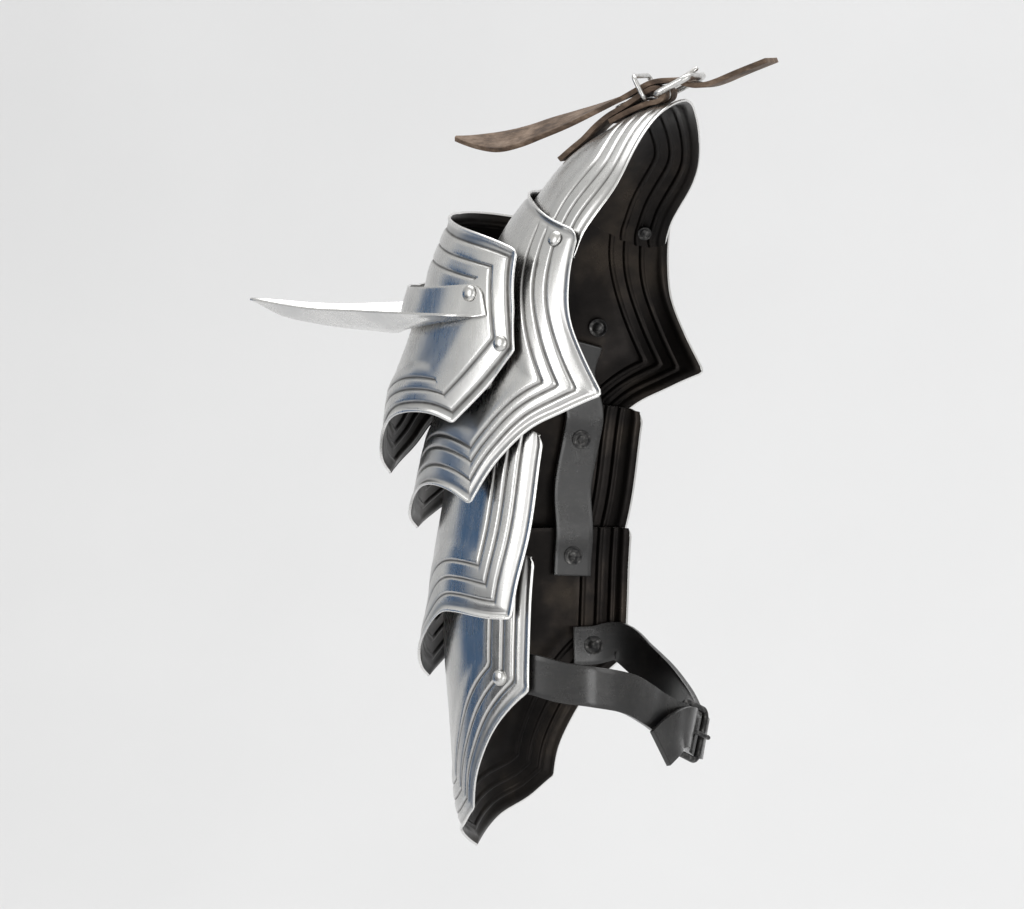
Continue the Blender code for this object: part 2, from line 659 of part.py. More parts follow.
def rivet(name, place, axis, layers, finish, parent, head_height=DOME_HEIGHT, washer=WASHER_RADIUS,
          play=GAP, clear=GAP):
    """A rivet through its layers: a domed head outside, a shank in a clear hole, a washer inside."""
    head = reach(place, axis, layers, HEAD_RADIUS) + GAP
    foot = reach(place, [-v for v in axis], layers, washer) + play
    profile = ((0, head + head_height), (HEAD_RADIUS * .6, head + head_height * .84),
               (HEAD_RADIUS * .92, head + head_height * .42), (HEAD_RADIUS, head),
               (SHANK_RADIUS, head), (SHANK_RADIUS, -foot), (washer, -foot),
               (washer, -foot - WASHER_THICK), (0, -foot - WASHER_THICK))
    mesh = bpy.data.meshes.new(name)
    mesh.from_pydata([(r * MM, 0, h * MM) for r, h in profile],
                     [(k, k + 1) for k in range(len(profile) - 1)], [])
    made = add_object(name, mesh, finish)
    made.location = Vector(place) * MM
    made.rotation_mode = "QUATERNION"
    made.rotation_quaternion = Vector(axis).to_track_quat("Z", "Y")
    turn = made.modifiers.new("Screw", "SCREW")
    turn.steps = turn.render_steps = RIVET_SIDES
    turn.use_merge_vertices = True
    turn.merge_threshold = 0.00001
    bpy.context.view_layer.update()
    if parent:
        made.parent = parent
        made.matrix_parent_inverse = parent.matrix_world.inverted()
    bpy.ops.mesh.primitive_cylinder_add(vertices=RIVET_SIDES, radius=(SHANK_RADIUS + clear) * MM,
                                        depth=(head + foot + DRILL_EXTRA) * MM)
    drill = bpy.context.object
    drill.name = name + "_drill"
    drill.location = (Vector(place) + Vector(axis).normalized() * (head - foot) / 2) * MM
    drill.rotation_mode = "QUATERNION"
    drill.rotation_quaternion = made.rotation_quaternion
    hide_cutter(drill)
    return [(layer, drill) for layer in layers]


def hide_cutter(cutter):
    """Keep a cutter in the cutters' collection, out of the model."""
    for holder in list(cutter.users_collection):
        holder.objects.unlink(cutter)
    bpy.data.collections["cutters"].objects.link(cutter)
    cutter.hide_render = True
    cutter.display_type = "WIRE"


def block_cutter(name, centre, axes, size):
    """A box cutter with its three sides along the given directions."""
    bpy.ops.mesh.primitive_cube_add(size=1)
    cutter = bpy.context.object
    cutter.name = name
    frame = Matrix([Vector(axis).normalized() for axis in axes]).transposed()
    cutter.matrix_world = Matrix.LocRotScale(Vector(centre) * MM, frame.to_quaternion(),
                                             Vector(size) * MM)
    hide_cutter(cutter)
    return cutter


def cut(target, cutter):
    """Cut a cutter's hole in a piece."""
    hole = target.modifiers.new("Hole", "BOOLEAN")
    hole.operation = "DIFFERENCE"
    hole.object = cutter


# The arm strap closes the sleeve on its inner side, in two lengths that meet at a buckle.
# Columns of both: x, y, z
ARM_FRONT = (
    (-26, -70.5, -277.6),
    (-10, -67, -279.6),
    (3, -56, -283.5),
    (9, -44, -290),
    (12.2, -34.5, -295.3),
)
ARM_REAR = (
    (-31, 69, -283.5),
    (-15, 61, -293),
    (0, 47, -302.5),
    (12, 31, -311),
)
ARM_BAR = np.array([16.8, -15.0, -304])
ARM_LONG_WAY = (0.228, 0.9, -0.37)
ARM_BUCKLE_LENGTH = 22.0
# Along the buckle and out from the arm, from the bar
ARM_FOLD_OUT = ((-12, 1.9), (-6, 2.9))
ARM_FOLD_BACK = ((-6, -2.2), (-12, -1.0))
# Along the buckle, out from the arm and up, from the bar
ARM_TONGUE = ((29, -3.6, 0), (22, -3.7, 0), (13.5, -1.4, 0), (6, 3.8, 0), (-1, 6.6, -0.5), (-9, 6.8, -4),
              (-17, 7, -11), (-24, 7, -18))
TONGUE_UP = (-0.3, -0.16, 0.94)
TONGUE_TWIST_FROM = -5.0
ARM_STRAP_AT = (66.5, 93.0)
ARM_STRAP_INSET = LEATHER_INSET + 0.2
# An arm strap's end and its way out, as (along, round) from its rivet
STRAP_END, STRAP_EXIT = (0, -11), (-2, 13)
UPRIGHT = (0.0, 0.0, 1.0)


def strap_root(sign):
    """Where an arm strap lies inside the lower lame, from its end past its rivet to the edge."""
    stations = []
    for shift in (STRAP_END, (0, 0), STRAP_EXIT):
        along, around = ARM_STRAP_AT[0] + shift[0], (ARM_STRAP_AT[1] + shift[1]) * sign
        stations.append(LOWER.at(along, around) - LOWER.normal(along, around) * ARM_STRAP_INSET)
    return stations


def arm_straps(leather, steel, arm):
    """Front and rear straps of the sleeve, their buckle and its prong."""
    half = STRAP_WIDTH / 2
    long_way = np.array(ARM_LONG_WAY) / np.linalg.norm(ARM_LONG_WAY)
    up_way = np.array(UPRIGHT) - long_way * long_way[2]
    up_way /= np.linalg.norm(up_way)
    out_way = np.cross(long_way, up_way)
    front = [(place, UPRIGHT, half) for place in strap_root(1) + list(np.array(ARM_FRONT, float))]
    turned = [ARM_BAR + long_way * a + out_way * b for a, b in ARM_FOLD_OUT]
    turned += fold(ARM_BAR, long_way, out_way, 90, -90)
    turned += [ARM_BAR + long_way * a + out_way * b for a, b in ARM_FOLD_BACK]
    front += [(place, up_way, half) for place in turned]
    front_strap = strap("arm_strap_front", front, leather, arm)
    rear = [(place, UPRIGHT, half) for place in strap_root(-1) + list(np.array(ARM_REAR, float))]
    for a, b, c in ARM_TONGUE:
        place = ARM_BAR + long_way * a + out_way * b + up_way * c
        rear.append((place, TONGUE_UP if c < TONGUE_TWIST_FROM else up_way, half))
    rear_strap = strap("arm_strap_rear", rear, leather, arm)
    frame_path = loop_path(ARM_BAR + long_way * ARM_BUCKLE_LENGTH / 2, long_way, up_way, ARM_BUCKLE_LENGTH,
                           BUCKLE_WIDTH, BUCKLE_CORNER)
    wire("arm_buckle", frame_path, BUCKLE_WIRE, steel, arm, cyclic=True)
    wire("arm_prong", prong_path(ARM_BAR, long_way, out_way, ARM_BUCKLE_LENGTH), PRONG_WIRE, steel, arm)
    ways = (long_way, up_way, out_way)
    slot_at = ARM_BAR + long_way * SLOT_AT[0] + out_way * SLOT_AT[1]
    cut(front_strap, block_cutter("arm_slot", slot_at, ways, SLOT_SIZE))
    hole_at = ARM_BAR + long_way * ARM_PRONG_HOLE_AT[0] + out_way * ARM_PRONG_HOLE_AT[1]
    cut(rear_strap, block_cutter("arm_prong_hole", hole_at, ways, PRONG_HOLE_SIZE))
    return {"front": front_strap, "rear": rear_strap}


def build():
    """Clear the scene and make every piece of the pauldron."""
    for old in list(bpy.data.objects):
        bpy.data.objects.remove(old)
    for name in ("pauldron", "cutters"):
        group = bpy.data.collections.new(name)
        bpy.context.scene.collection.children.link(group)
    steel = material("satin_steel", (0.62, 0.64, 0.66), 0.28, 1.0)
    bright = material("bright_steel", (0.78, 0.78, 0.77), 0.2, 1.0)
    brown = material("brown_leather", (0.20, 0.13, 0.09), 0.75, 0.0)
    dark = material("black_steel", (0.06, 0.06, 0.065), 0.35, 1.0)
    black = material("black_leather", (0.02, 0.02, 0.022), 0.35, 0.0)
    pivot = MAIN.at(*PIVOT_AT)
    arm = bpy.data.objects.new("arm_pivot", None)
    bpy.data.collections["pauldron"].objects.link(arm)
    arm.location = (pivot[0] * MM, 0, pivot[2] * MM)
    bpy.context.view_layer.update()
    top = plate_object("top_plate", TOP_PLATE, steel, None, 5, 4, top_lines=CREASE_LINES, side_lines=(0,),
                       bottom_lines=(0,))
    main = plate_object("main_plate", MAIN_PLATE, steel, arm, 4, 6)
    standoff = plate_object("standoff_plate", STANDOFF_PLATE, steel, arm, 4, 3, top_lines=CREASE_LINES,
                            side_lines=(0, .5, 1, 1.5, 2, 2.5))
    upper = plate_object("upper_arm_lame", UPPER_LAME, steel, arm, 4, 3)
    lower = plate_object("lower_arm_lame", LOWER_LAME, steel, arm, 4, 6)
    wing = sheet("wing_blade", wing_points(8, 2, 5), SHEET, steel, arm, mirrored=True, tab_rows=1)
    chape = shoulder_straps(brown, bright)
    sides = (("front", 1), ("rear", -1))
    leathers = {side: inner_leather("lame_leather_" + side, sign, black, arm) for side, sign in sides}
    straps = arm_straps(black, dark, arm)
    bpy.context.view_layer.update()
    holes = rivet("chape_rivet", on_top(CHAPE_RIVET_ALONG, 0.0), TOP.normal(CHAPE_RIVET_ALONG, 0.0),
                  [chape, top], bright, None, FLAT_HEAD_HEIGHT)
    flat = FLAT_HEAD_HEIGHT
    # Fits: washer radius, play under the washer, clearance round the shank
    snug = (WASHER_RADIUS, GAP, GAP)
    loose = (PIVOT_WASHER, PIVOT_PLAY, PIVOT_CLEAR)
    for side, sign in sides:
        table = (
            ("pivot_rivet", MAIN, PIVOT_AT, [main, top], DOME_HEIGHT, loose),
            ("standoff_rivet", STANDOFF, STANDOFF_RIVET_AT, [standoff, main], DOME_HEIGHT, snug),
            ("wing_rivet", FLANGE, WING_RIVET_AT, [wing, standoff], DOME_HEIGHT, snug),
            ("leather_rivet_1", MAIN, LEATHER_RIVETS_AT[0], [main, leathers[side]], flat, snug),
            ("leather_rivet_2", UPPER, LEATHER_RIVETS_AT[1], [upper, leathers[side]], flat, snug),
            ("leather_rivet_3", LOWER, LEATHER_RIVETS_AT[2], [lower, leathers[side]], flat, snug),
            ("arm_strap_rivet", LOWER, ARM_STRAP_AT, [lower, straps[side]], DOME_HEIGHT, snug),
        )
        for name, surface, (along, around), layers, head, fit in table:
            place, axis = surface.at(along, around * sign), surface.normal(along, around * sign)
            holes += rivet(f"{name}_{side}", place, axis, layers, bright, arm, head, *fit)
    for layer, drill in holes:
        cut(layer, drill)


build()
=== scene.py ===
import json
import math

import bmesh
import bpy
import numpy as np
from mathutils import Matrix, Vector

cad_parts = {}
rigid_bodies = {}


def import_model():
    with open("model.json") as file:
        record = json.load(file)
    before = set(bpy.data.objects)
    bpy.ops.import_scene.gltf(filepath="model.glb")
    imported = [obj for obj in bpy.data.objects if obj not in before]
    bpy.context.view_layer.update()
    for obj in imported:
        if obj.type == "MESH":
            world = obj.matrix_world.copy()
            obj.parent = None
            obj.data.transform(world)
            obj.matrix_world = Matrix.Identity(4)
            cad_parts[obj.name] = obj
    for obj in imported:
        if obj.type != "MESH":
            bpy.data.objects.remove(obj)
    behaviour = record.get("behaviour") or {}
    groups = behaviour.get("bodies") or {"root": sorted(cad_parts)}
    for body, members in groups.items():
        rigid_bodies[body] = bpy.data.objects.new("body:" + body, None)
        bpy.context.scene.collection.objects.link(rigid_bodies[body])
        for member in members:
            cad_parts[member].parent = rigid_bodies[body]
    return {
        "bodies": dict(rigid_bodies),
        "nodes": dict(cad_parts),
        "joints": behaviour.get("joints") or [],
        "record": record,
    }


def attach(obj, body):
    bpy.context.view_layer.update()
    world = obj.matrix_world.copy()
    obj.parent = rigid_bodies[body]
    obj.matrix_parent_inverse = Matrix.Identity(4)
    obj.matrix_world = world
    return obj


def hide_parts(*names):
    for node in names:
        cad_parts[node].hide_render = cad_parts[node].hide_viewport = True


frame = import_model()

# Sizes are in millimetres until a mesh is made.
MM = 0.001
SHEET = 1.2
GAP = 0.3
RIB_RISE = 0.8
RIB_SINK = 0.8
LIP_RISE = 1.0
# Relief that the solids leave out: heights, and half widths of the creases, crests and rims
BAND_SINK = 0.22
CREASE_DEPTH = 0.6
CREASE_WIDE = 0.7
CREST_RISE = 0.12
CREST_AT, CREST_WIDE = 1.7, 0.7
RIM_AT, RIM_WIDE = 0.9, 1.1
CHANNEL_SINK = 0.5
CHANNEL_AT, CHANNEL_WIDE = 3.8, 1.5
# Grid lines lie PLAIN_SPACING apart beside a plain edge, and creases fade out beside its rim.
PLAIN_SPACING = 12.0
FADE_FROM, FADE_OVER = 3.5, 7.0
GRID_PASSES = 40
EDGE_POINTS = 60
LEATHER = 2.5
STRAP_WIDTH = 20.0
BUCKLE_WIRE = 1.75
# Rivets at (along, round) on the surface they stand on
PIVOT_AT = (21.0, 82.0)
STANDOFF_RIVET_AT = (92.0, 87.5)
WING_RIVET_AT = (76.5, 66.0)
LEATHER_RIVETS_AT = ((117.0, 80.0), (-1.0, 83.0), (17.0, 81.5))

# Each plate is bent round a middle line. Tilt is the angle of the line's outward normal from +Z
# towards -X in degrees, and half_width and depth are the half axes of the section there.
# Columns: x, z, tilt, half_width, depth
TOP_SPINE = (
    (20, 8, 12, 72, 74),
    (-2, 4, 20, 72.5, 74),
    (-20, -4, 30, 73, 75),
    (-44, -20, 40, 74, 76),
    (-59, -37.5, 48, 74, 75),
    (-71.5, -55, 53, 74, 74),
    (-81, -76, 60, 74, 74),
)
MAIN_SPINE = (
    (-44, -17, 39, 77.5, 79),
    (-64, -38, 49, 78.5, 79),
    (-77, -55, 55, 79, 79),
    (-88, -77, 62, 79.5, 79),
    (-103, -120, 69, 80, 80),
    (-117, -157, 73, 81, 81),
    (-125, -190, 77, 83, 83),
    (-128, -207, 80, 84, 84),
)
UPPER_SPINE = (
    (-106, -165, 84, 76.5, 76.5),
    (-111, -198, 84, 77, 77),
    (-115, -220, 84, 78, 78),
    (-118, -246, 86, 79, 79),
    (-121.5, -263, 88, 80, 80),
    (-122, -281, 90, 80, 80),
)
LOWER_SPINE = (
    (-108.5, -212, 90, 73.5, 73.5),
    (-110, -240, 90, 74.5, 74.5),
    (-109.5, -275, 92, 74.5, 74.5),
    (-107, -306, 93, 74.5, 74.5),
    (-105, -333, 95, 75.5, 75.5),
    (-103, -350, 98, 75.5, 75.5),
    (-98, -366, 104, 75.5, 75.5),
)


def smooth(stations, values, where):
    """Read a table's values between its stations, on one smooth curve."""
    stations = np.asarray(stations, float)
    values = np.asarray(values, float)
    where = np.asarray(where, float)
    low = np.clip(np.searchsorted(stations, where, side="right") - 1, 0, len(stations) - 2)
    slope = np.gradient(values, stations, axis=0)
    step = (stations[low + 1] - stations[low])[..., None]
    part = (where - stations[low])[..., None] / step
    before = (2 * part**3 - 3 * part**2 + 1) * values[low]
    before = before + (part**3 - 2 * part**2 + part) * step * slope[low]
    after = (3 * part**2 - 2 * part**3) * values[low + 1]
    return before + after + (part**3 - part**2) * step * slope[low + 1]


class Sweep:
    """A surface bent round a middle line, read at (along, round) in millimetres.

    Along runs down the middle line from the spine's first row, and round runs round the section
    from the middle line, plus towards the front.
    """

    def __init__(self, spine):
        self.rows = np.array(spine, float)
        steps = np.hypot(np.diff(self.rows[:, 0]), np.diff(self.rows[:, 1]))
        self.stations = np.concatenate([[0.0], np.cumsum(steps)])

    def at(self, along, around):
        along, around = np.broadcast_arrays(np.asarray(along, float), np.asarray(around, float))
        row = smooth(self.stations, self.rows, along)
        x, z, tilt, half_width, depth = np.moveaxis(row, -1, 0)
        tilt = np.radians(tilt)
        quarter = (half_width + depth) / 2 * math.pi / 2
        turn = np.clip(np.abs(around) / quarter, 0, 1) * math.pi / 2
        leg = np.maximum(np.abs(around) - quarter, 0)
        drop = depth * (1 - np.cos(turn)) + leg
        return np.stack([x + drop * np.sin(tilt),
                         -np.sign(around) * half_width * np.sin(turn),
                         z - drop * np.cos(tilt)], -1)

    def normal(self, along, around):
        step = 0.5
        down = self.at(np.asarray(along) + step, around) - self.at(np.asarray(along) - step, around)
        side = self.at(along, np.asarray(around) + step) - self.at(along, np.asarray(around) - step)
        out = np.cross(down, side)
        return out / np.linalg.norm(out, axis=-1, keepdims=True)


class Raised(Sweep):
    """A surface that stands off another one by a height that depends on the place."""

    def __init__(self, base, height):
        self.base = base
        self.height = height

    def at(self, along, around):
        lift = self.height(np.asarray(along, float), np.asarray(around, float))
        return self.base.at(along, around) + self.base.normal(along, around) * lift[..., None]


STANDOFF_SEAT = 3.4
STANDOFF_BULGE = 24.0
STANDOFF_SEAT_AT = 90.0
STANDOFF_POWER = 1.3
WING_SEAT = 2.5
WING_BULGE = 6.0
WING_SEAT_AT = 66.0


def standoff_height(along, around):
    """The stand-off plate touches near its side corners and bulges away at the middle."""
    part = np.clip(np.abs(around) / STANDOFF_SEAT_AT, 0, 1)
    bulge = np.interp(along, [40, 150, 190], [STANDOFF_BULGE, STANDOFF_BULGE, STANDOFF_BULGE - 8])
    return STANDOFF_SEAT + bulge * (1 - part**2) ** STANDOFF_POWER


def wing_height(along, around):
    """The wing's flange lies on the stand-off plate at its rivets and bridges the middle."""
    part = np.clip(np.abs(around) / WING_SEAT_AT, 0, 1)
    return standoff_height(along, around) + WING_SEAT + WING_BULGE * (1 - part**2)


TOP = Sweep(TOP_SPINE)
MAIN = Sweep(MAIN_SPINE)
UPPER = Sweep(UPPER_SPINE)
LOWER = Sweep(LOWER_SPINE)
STANDOFF = Raised(MAIN, standoff_height)
FLANGE = Raised(MAIN, wing_height)


class Edge:
    """One smooth stretch of a plate's outline, in (along, round), and the creases beside it.

    creases are the distances of the three creases from the edge. shown says which are pressed.
    """

    def __init__(self, points, creases=None, shown=(1, 1, 1), lip=True):
        points = np.array(points, float)
        steps = np.hypot(*np.diff(points, axis=0).T)
        stations = np.concatenate([[0.0], np.cumsum(steps)])
        self.length = stations[-1]
        self.points = smooth(stations, points, np.linspace(0, self.length, EDGE_POINTS))
        self.creases = creases
        self.shown = shown
        self.lip = lip

    def at(self, part):
        places = np.linspace(0, 1, len(self.points))
        return np.stack([np.interp(part, places, self.points[:, k]) for k in (0, 1)], -1)

    def distance(self, places):
        start, end = self.points[:-1], self.points[1:]
        run = end - start
        offset = places[..., None, :] - start
        part = np.clip((offset * run).sum(-1) / (run * run).sum(-1), 0, 1)
        return np.linalg.norm(offset - part[..., None] * run, axis=-1).min(-1)

    def count(self, places):
        """Count creases from the edge: 1, 2 and 3 are creases and the halves are crests."""
        if self.creases is None:
            return self.distance(places) / PLAIN_SPACING
        first, second, third = self.creases
        half = (third - first) / 4
        marks = (0, first - half, first, (first + second) / 2, second, (second + third) / 2, third,
                 third + half, third + half + 1000)
        return np.interp(self.distance(places), marks, (0, .5, 1, 1.5, 2, 2.5, 3, 3.5, 3.5 + 500 / half))


def ease(part):
    """Run smoothly from 0 to 1."""
    part = np.clip(part, 0, 1)
    return part * part * (3 - 2 * part)


def hump(distance, place, wide):
    """A soft ridge of height 1 round a distance."""
    return np.exp(-((distance - place) / wide)**2)


def nudge(line, count):
    """How far a grid line's distance from an edge is scaled to bring it to its count, so that it settles."""
    return np.clip((line + .01) / (count + .01), .5, 2)**.5


def round_corner(places, corner, first_way, second_way, radius):
    """Pull the places near a corner in, so that its two edges meet in an arc."""
    first_way = first_way / np.linalg.norm(first_way)
    second_way = second_way / np.linalg.norm(second_way)
    half = math.acos(np.clip(first_way @ second_way, -1, 1)) / 2
    reach = radius / math.tan(half)
    share = radius * (1 / math.sin(half) - 1) / (2 * math.cos(half)) / reach
    back = np.linalg.inv(np.array([first_way, second_way]).T)
    parts = (places - corner) @ back.T
    first, second = 1 - parts[..., 0] / reach, 1 - parts[..., 1] / reach
    near = (first > 0) & (second > 0)
    first_cut, second_cut = np.clip(first, 0, 1), np.clip(second, 0, 1)
    moved_first = 1 - first * (1 - share * second_cut**2)
    moved_second = 1 - second * (1 - share * first_cut**2)
    moved = corner + (moved_first[..., None] * first_way + moved_second[..., None] * second_way) * reach
    return np.where(near[..., None], moved, places)


class Plate:
    """Half of a plate's outline: its top, side and bottom edges, from the middle line round."""

    def __init__(self, surface, top, side, bottom, radii):
        self.surface = surface
        self.radii = radii
        self.top = top
        self.side = side
        self.bottom = bottom
        self.corner = 0.5 if len(side) == 2 else None

    def side_at(self, part):
        if self.corner is None:
            return self.side[0].at(part)
        return np.where((part < 0.5)[..., None], self.side[0].at(part * 2), self.side[1].at(part * 2 - 1))

    def patch(self, over, down):
        """Map over (0 middle line, 1 side) and down (0 top, 1 bottom) to (along, round)."""
        over, down = np.broadcast_arrays(over, down)
        top, bottom = self.top.at(over), self.bottom.at(over)
        side = self.side_at(down)
        ends = [self.top.at(np.zeros(1))[0], self.top.at(np.ones(1))[0],
                self.bottom.at(np.zeros(1))[0], self.bottom.at(np.ones(1))[0]]
        o, d = over[..., None], down[..., None]
        middle = ends[0] * (1 - d) + ends[2] * d
        flat = (1 - o) * (1 - d) * ends[0] + o * (1 - d) * ends[1] + (1 - o) * d * ends[2] + o * d * ends[3]
        return (1 - d) * top + d * bottom + (1 - o) * middle + o * side - flat

    def side_count(self, places):
        return np.min([edge.count(places) for edge in self.side], axis=0)

    def grid(self, side_lines, free_columns, bottom_lines, free_rows, top_lines):
        """Lay grid lines along the creases: rows from top to bottom, columns from the middle out."""
        columns, rows = len(side_lines) + free_columns, len(top_lines) + free_rows + len(bottom_lines)
        over = np.repeat(np.linspace(0, 1, columns)[None, :], rows, 0)
        down = np.repeat(np.linspace(0, 1, rows)[:, None], columns, 1)
        inner, last_top = free_columns, len(top_lines) - 1
        first_bottom = rows - len(bottom_lines)
        for _ in range(GRID_PASSES):
            places = self.patch(over, down)
            side_count = self.side_count(places)
            for k, line in enumerate(side_lines):
                column = columns - 1 - k
                step = nudge(line, side_count[:, column])
                over[:, column] = 1 - (1 - over[:, column]) * step if line else 1.0
            over[:, :inner] = over[:, inner:inner + 1] * np.arange(inner) / inner
            bottom_count = self.bottom.count(places)
            for k, line in enumerate(bottom_lines):
                row = rows - 1 - k
                down[row] = 1 - (1 - down[row]) * nudge(line, bottom_count[row]) if line else 1.0
            top_count = self.top.count(places)
            for row, line in enumerate(top_lines):
                down[row] = down[row] * nudge(line, top_count[row]) if line else 0.0
            over, down = np.clip(over, 0, 1), np.clip(down, 0, 1)
            known = [last_top, first_bottom]
            if self.corner and free_rows > 1:
                share = (self.corner - down[last_top, -1]) / (down[first_bottom, -1] - down[last_top, -1])
                corner_row = last_top + round(np.clip(share, .01, .99) * (first_bottom - last_top))
                corner_row = min(max(corner_row, last_top + 1), first_bottom - 1)
                down[corner_row] = self.corner
                known.insert(1, corner_row)
            for row in range(last_top + 1, first_bottom):
                after = next(k for k in known if k >= row)
                before = max(k for k in known if k < row)
                part = (row - before) / (after - before)
                down[row] = down[before] * (1 - part) + down[after] * part
        return self.patch(over, down)

    def relief(self, places):
        """Height over the plain surface of the rim, the channel beside it, the creases and the ribs."""
        edges = [*self.side, self.bottom, self.top]
        creased = [edge for edge in edges if edge.creases]
        counts = np.stack([edge.count(places) for edge in creased])
        away = np.stack([edge.distance(places) for edge in creased])
        nearest, count = counts.argmin(0), counts.min(0)
        away = np.take_along_axis(away, nearest[None], 0)[0]
        crease = np.clip(np.round(count), 1, 3).astype(int) - 1
        shown = np.array([edge.shown for edge in creased])[nearest, crease]
        pressed = shown * ((count > .5) & (count < 3.5))
        if self.top.lip and not self.top.creases:
            pressed = pressed * ease((self.top.distance(places) - FADE_FROM) / FADE_OVER)
        off = np.abs(away - np.array([edge.creases for edge in creased], float)[nearest, crease])
        height = RIB_RISE * (1 - ease(count - 3.5)) - BAND_SINK * np.cos(math.pi * count)**2 * pressed
        height -= CREASE_DEPTH * hump(off, 0, CREASE_WIDE) * pressed
        height += CREST_RISE * hump(off, CREST_AT, CREST_WIDE) * pressed
        lip = np.min([edge.distance(places) for edge in edges if edge.lip], axis=0)
        rim, channel = hump(lip, RIM_AT, RIM_WIDE), hump(lip, CHANNEL_AT, CHANNEL_WIDE)
        # Painted shade: a mask that darkens the steel in the creases and, more lightly, in the channel
        # beside the rim.
        crease_shade = np.clip(hump(off, 0, CREASE_WIDE * .95) * pressed + .3 * channel, 0, 1)
        return height + LIP_RISE * rim - CHANNEL_SINK * channel, crease_shade, rim

    def corners(self):
        """The outline's corners: each is a place and the two ways along its edges."""
        joints = [(self.top.points[::-1], self.side[0].points)]
        if len(self.side) == 2:
            joints.append((self.side[0].points[::-1], self.side[1].points))
        joints.append((self.side[-1].points[::-1], self.bottom.points[::-1]))
        return [(first[0], first[3] - first[0], second[3] - second[0]) for first, second in joints]

    def shape(self, places):
        """The bent surface with its relief. Corners are rounded, and the rim turns with them."""
        height, crease_shade, rim = self.relief(places)
        for radius, (corner, first_way, second_way) in zip(self.radii, self.corners()):
            places = round_corner(places, corner, first_way, second_way, radius)
        along, around = places[..., 0], places[..., 1]
        points = self.surface.at(along, around) + self.surface.normal(along, around) * height[..., None]
        return points, crease_shade, rim


TOP_PLATE = Plate(
    TOP,
    top=Edge([(5, 0), (9.5, 23), (32, 69.5), (63, 85), (72, 87.5), (88, 92)], (9.5, 17, 25)),
    side=[Edge([(88, 92), (96, 86), (101, 78), (103, 69), (103.7, 60)], lip=False)],
    bottom=Edge([(104, 0), (104, 30), (103.7, 60)], lip=False),
    radii=(3.5, 3.5))
MAIN_PLATE = Plate(
    MAIN,
    top=Edge([(29, 0), (24.5, 36), (15, 72.5), (4, 90)]),
    side=[Edge([(4, 90), (30.5, 104), (49.5, 115.5), (72, 132), (90, 147.5)], (15, 24, 32)),
          Edge([(90, 147.5), (109.5, 131.5), (127.5, 117.5), (149.5, 108), (181, 99)], (8, 13.6, 18.7))],
    bottom=Edge([(216, 0), (204, 27), (192, 41.5), (180.5, 65.5), (178.5, 82.5), (181, 99)], (11, 20, 26.5)),
    radii=(6.5, 4.5, 3.5))
STANDOFF_PLATE = Plate(
    STANDOFF,
    top=Edge([(59, 0), (57.5, 20), (55, 36), (40.5, 76)], (5.5, 13.5, 21.5)),
    side=[Edge([(40.5, 76), (66, 86.5), (91, 97.5)], (4.5, 13.5, 21.5), (1, 1, 0)),
          Edge([(91, 97.5), (117, 88), (143.5, 78)], (4.5, 13.5, 21.5), (1, 1, 0))],
    bottom=Edge([(192, 0), (178.5, 20), (168, 28), (149.5, 52.5), (144, 67), (143.5, 78)], (5, 11.5, 17.5)),
    radii=(4, 5, 3))
UPPER_LAME = Plate(
    UPPER,
    top=Edge([(-20, 0), (-20, 60), (-18.5, 114)], lip=False),
    side=[Edge([(-18.5, 114), (30, 115), (77, 113)], (12, 19, 26))],
    bottom=Edge([(124, 0), (117, 16), (100, 41), (80, 67.5), (79, 75.5), (78.5, 100.5), (77, 113)],
                (9.5, 18, 26.5)),
    radii=(8, 3))
LOWER_LAME = Plate(
    LOWER,
    top=Edge([(3, 0), (3, 60), (3, 112)], lip=False),
    side=[Edge([(3, 112), (38, 112), (73, 110)], (9, 16, 24)),
          Edge([(73, 110), (80, 101), (93, 88), (108, 78), (122, 71), (137, 67)], (9, 16, 24))],
    bottom=Edge([(163, 0), (152, 28), (146, 51), (137, 67)], (9, 16, 24)),
    radii=(5, 3, 3))

# Grid lines of a creased edge, in creases counted from it, closest at each crease
RIM_LINES = (0, .035, .08, .13, .19, .26, .33, .4, .47, .54, .62)
BESIDE_CREASE = (-.26, -.18, -.12, -.07, -.03, 0, .03, .07, .12, .18, .26, .35, .5)
CREASE_LINES = RIM_LINES + tuple(k + step for k in (1, 2, 3) for step in BESIDE_CREASE)


def show(obj, body, node, finish):
    """Hang a piece on its body, in place of its CAD node."""
    obj.data.materials.clear()
    for made in finish if isinstance(finish, tuple) else (finish,):
        obj.data.materials.append(made)
    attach(obj, body)
    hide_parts(node)


def smooth_mesh(name, points, faces):
    """An object of smooth faces over points in millimetres."""
    mesh = bpy.data.meshes.new(name)
    mesh.from_pydata((points.reshape(-1, 3) * MM).tolist(), [], faces)
    mesh.validate()
    made = bpy.data.objects.new(name, mesh)
    bpy.context.scene.collection.objects.link(made)
    mesh.shade_smooth()
    return made


def grid_mesh(name, points):
    """A sheet over rows and columns of points."""
    rows, columns = points.shape[:2]
    index = np.arange(rows * columns).reshape(rows, columns)
    faces = np.stack([index[:-1, :-1], index[1:, :-1], index[1:, 1:], index[:-1, 1:]], -1)
    return smooth_mesh(name, points, faces.reshape(-1, 4).tolist())


def ring_mesh(name, rings, cyclic=False):
    """A tube over rings of points, closed at its ends unless it is a loop."""
    count, sides = rings.shape[:2]
    faces = []
    for i in range(count if cyclic else count - 1):
        for j in range(sides):
            after, beside = (i + 1) % count * sides, (j + 1) % sides
            faces.append((i * sides + j, i * sides + beside, after + beside, after + j))
    if not cyclic:
        faces += [tuple(range(sides))[::-1], tuple((count - 1) * sides + j for j in range(sides))]
    made = smooth_mesh(name, rings, faces)
    bm = bmesh.new()
    bm.from_mesh(made.data)
    bmesh.ops.recalc_face_normals(bm, faces=bm.faces)
    bm.to_mesh(made.data)
    bm.free()
    return made


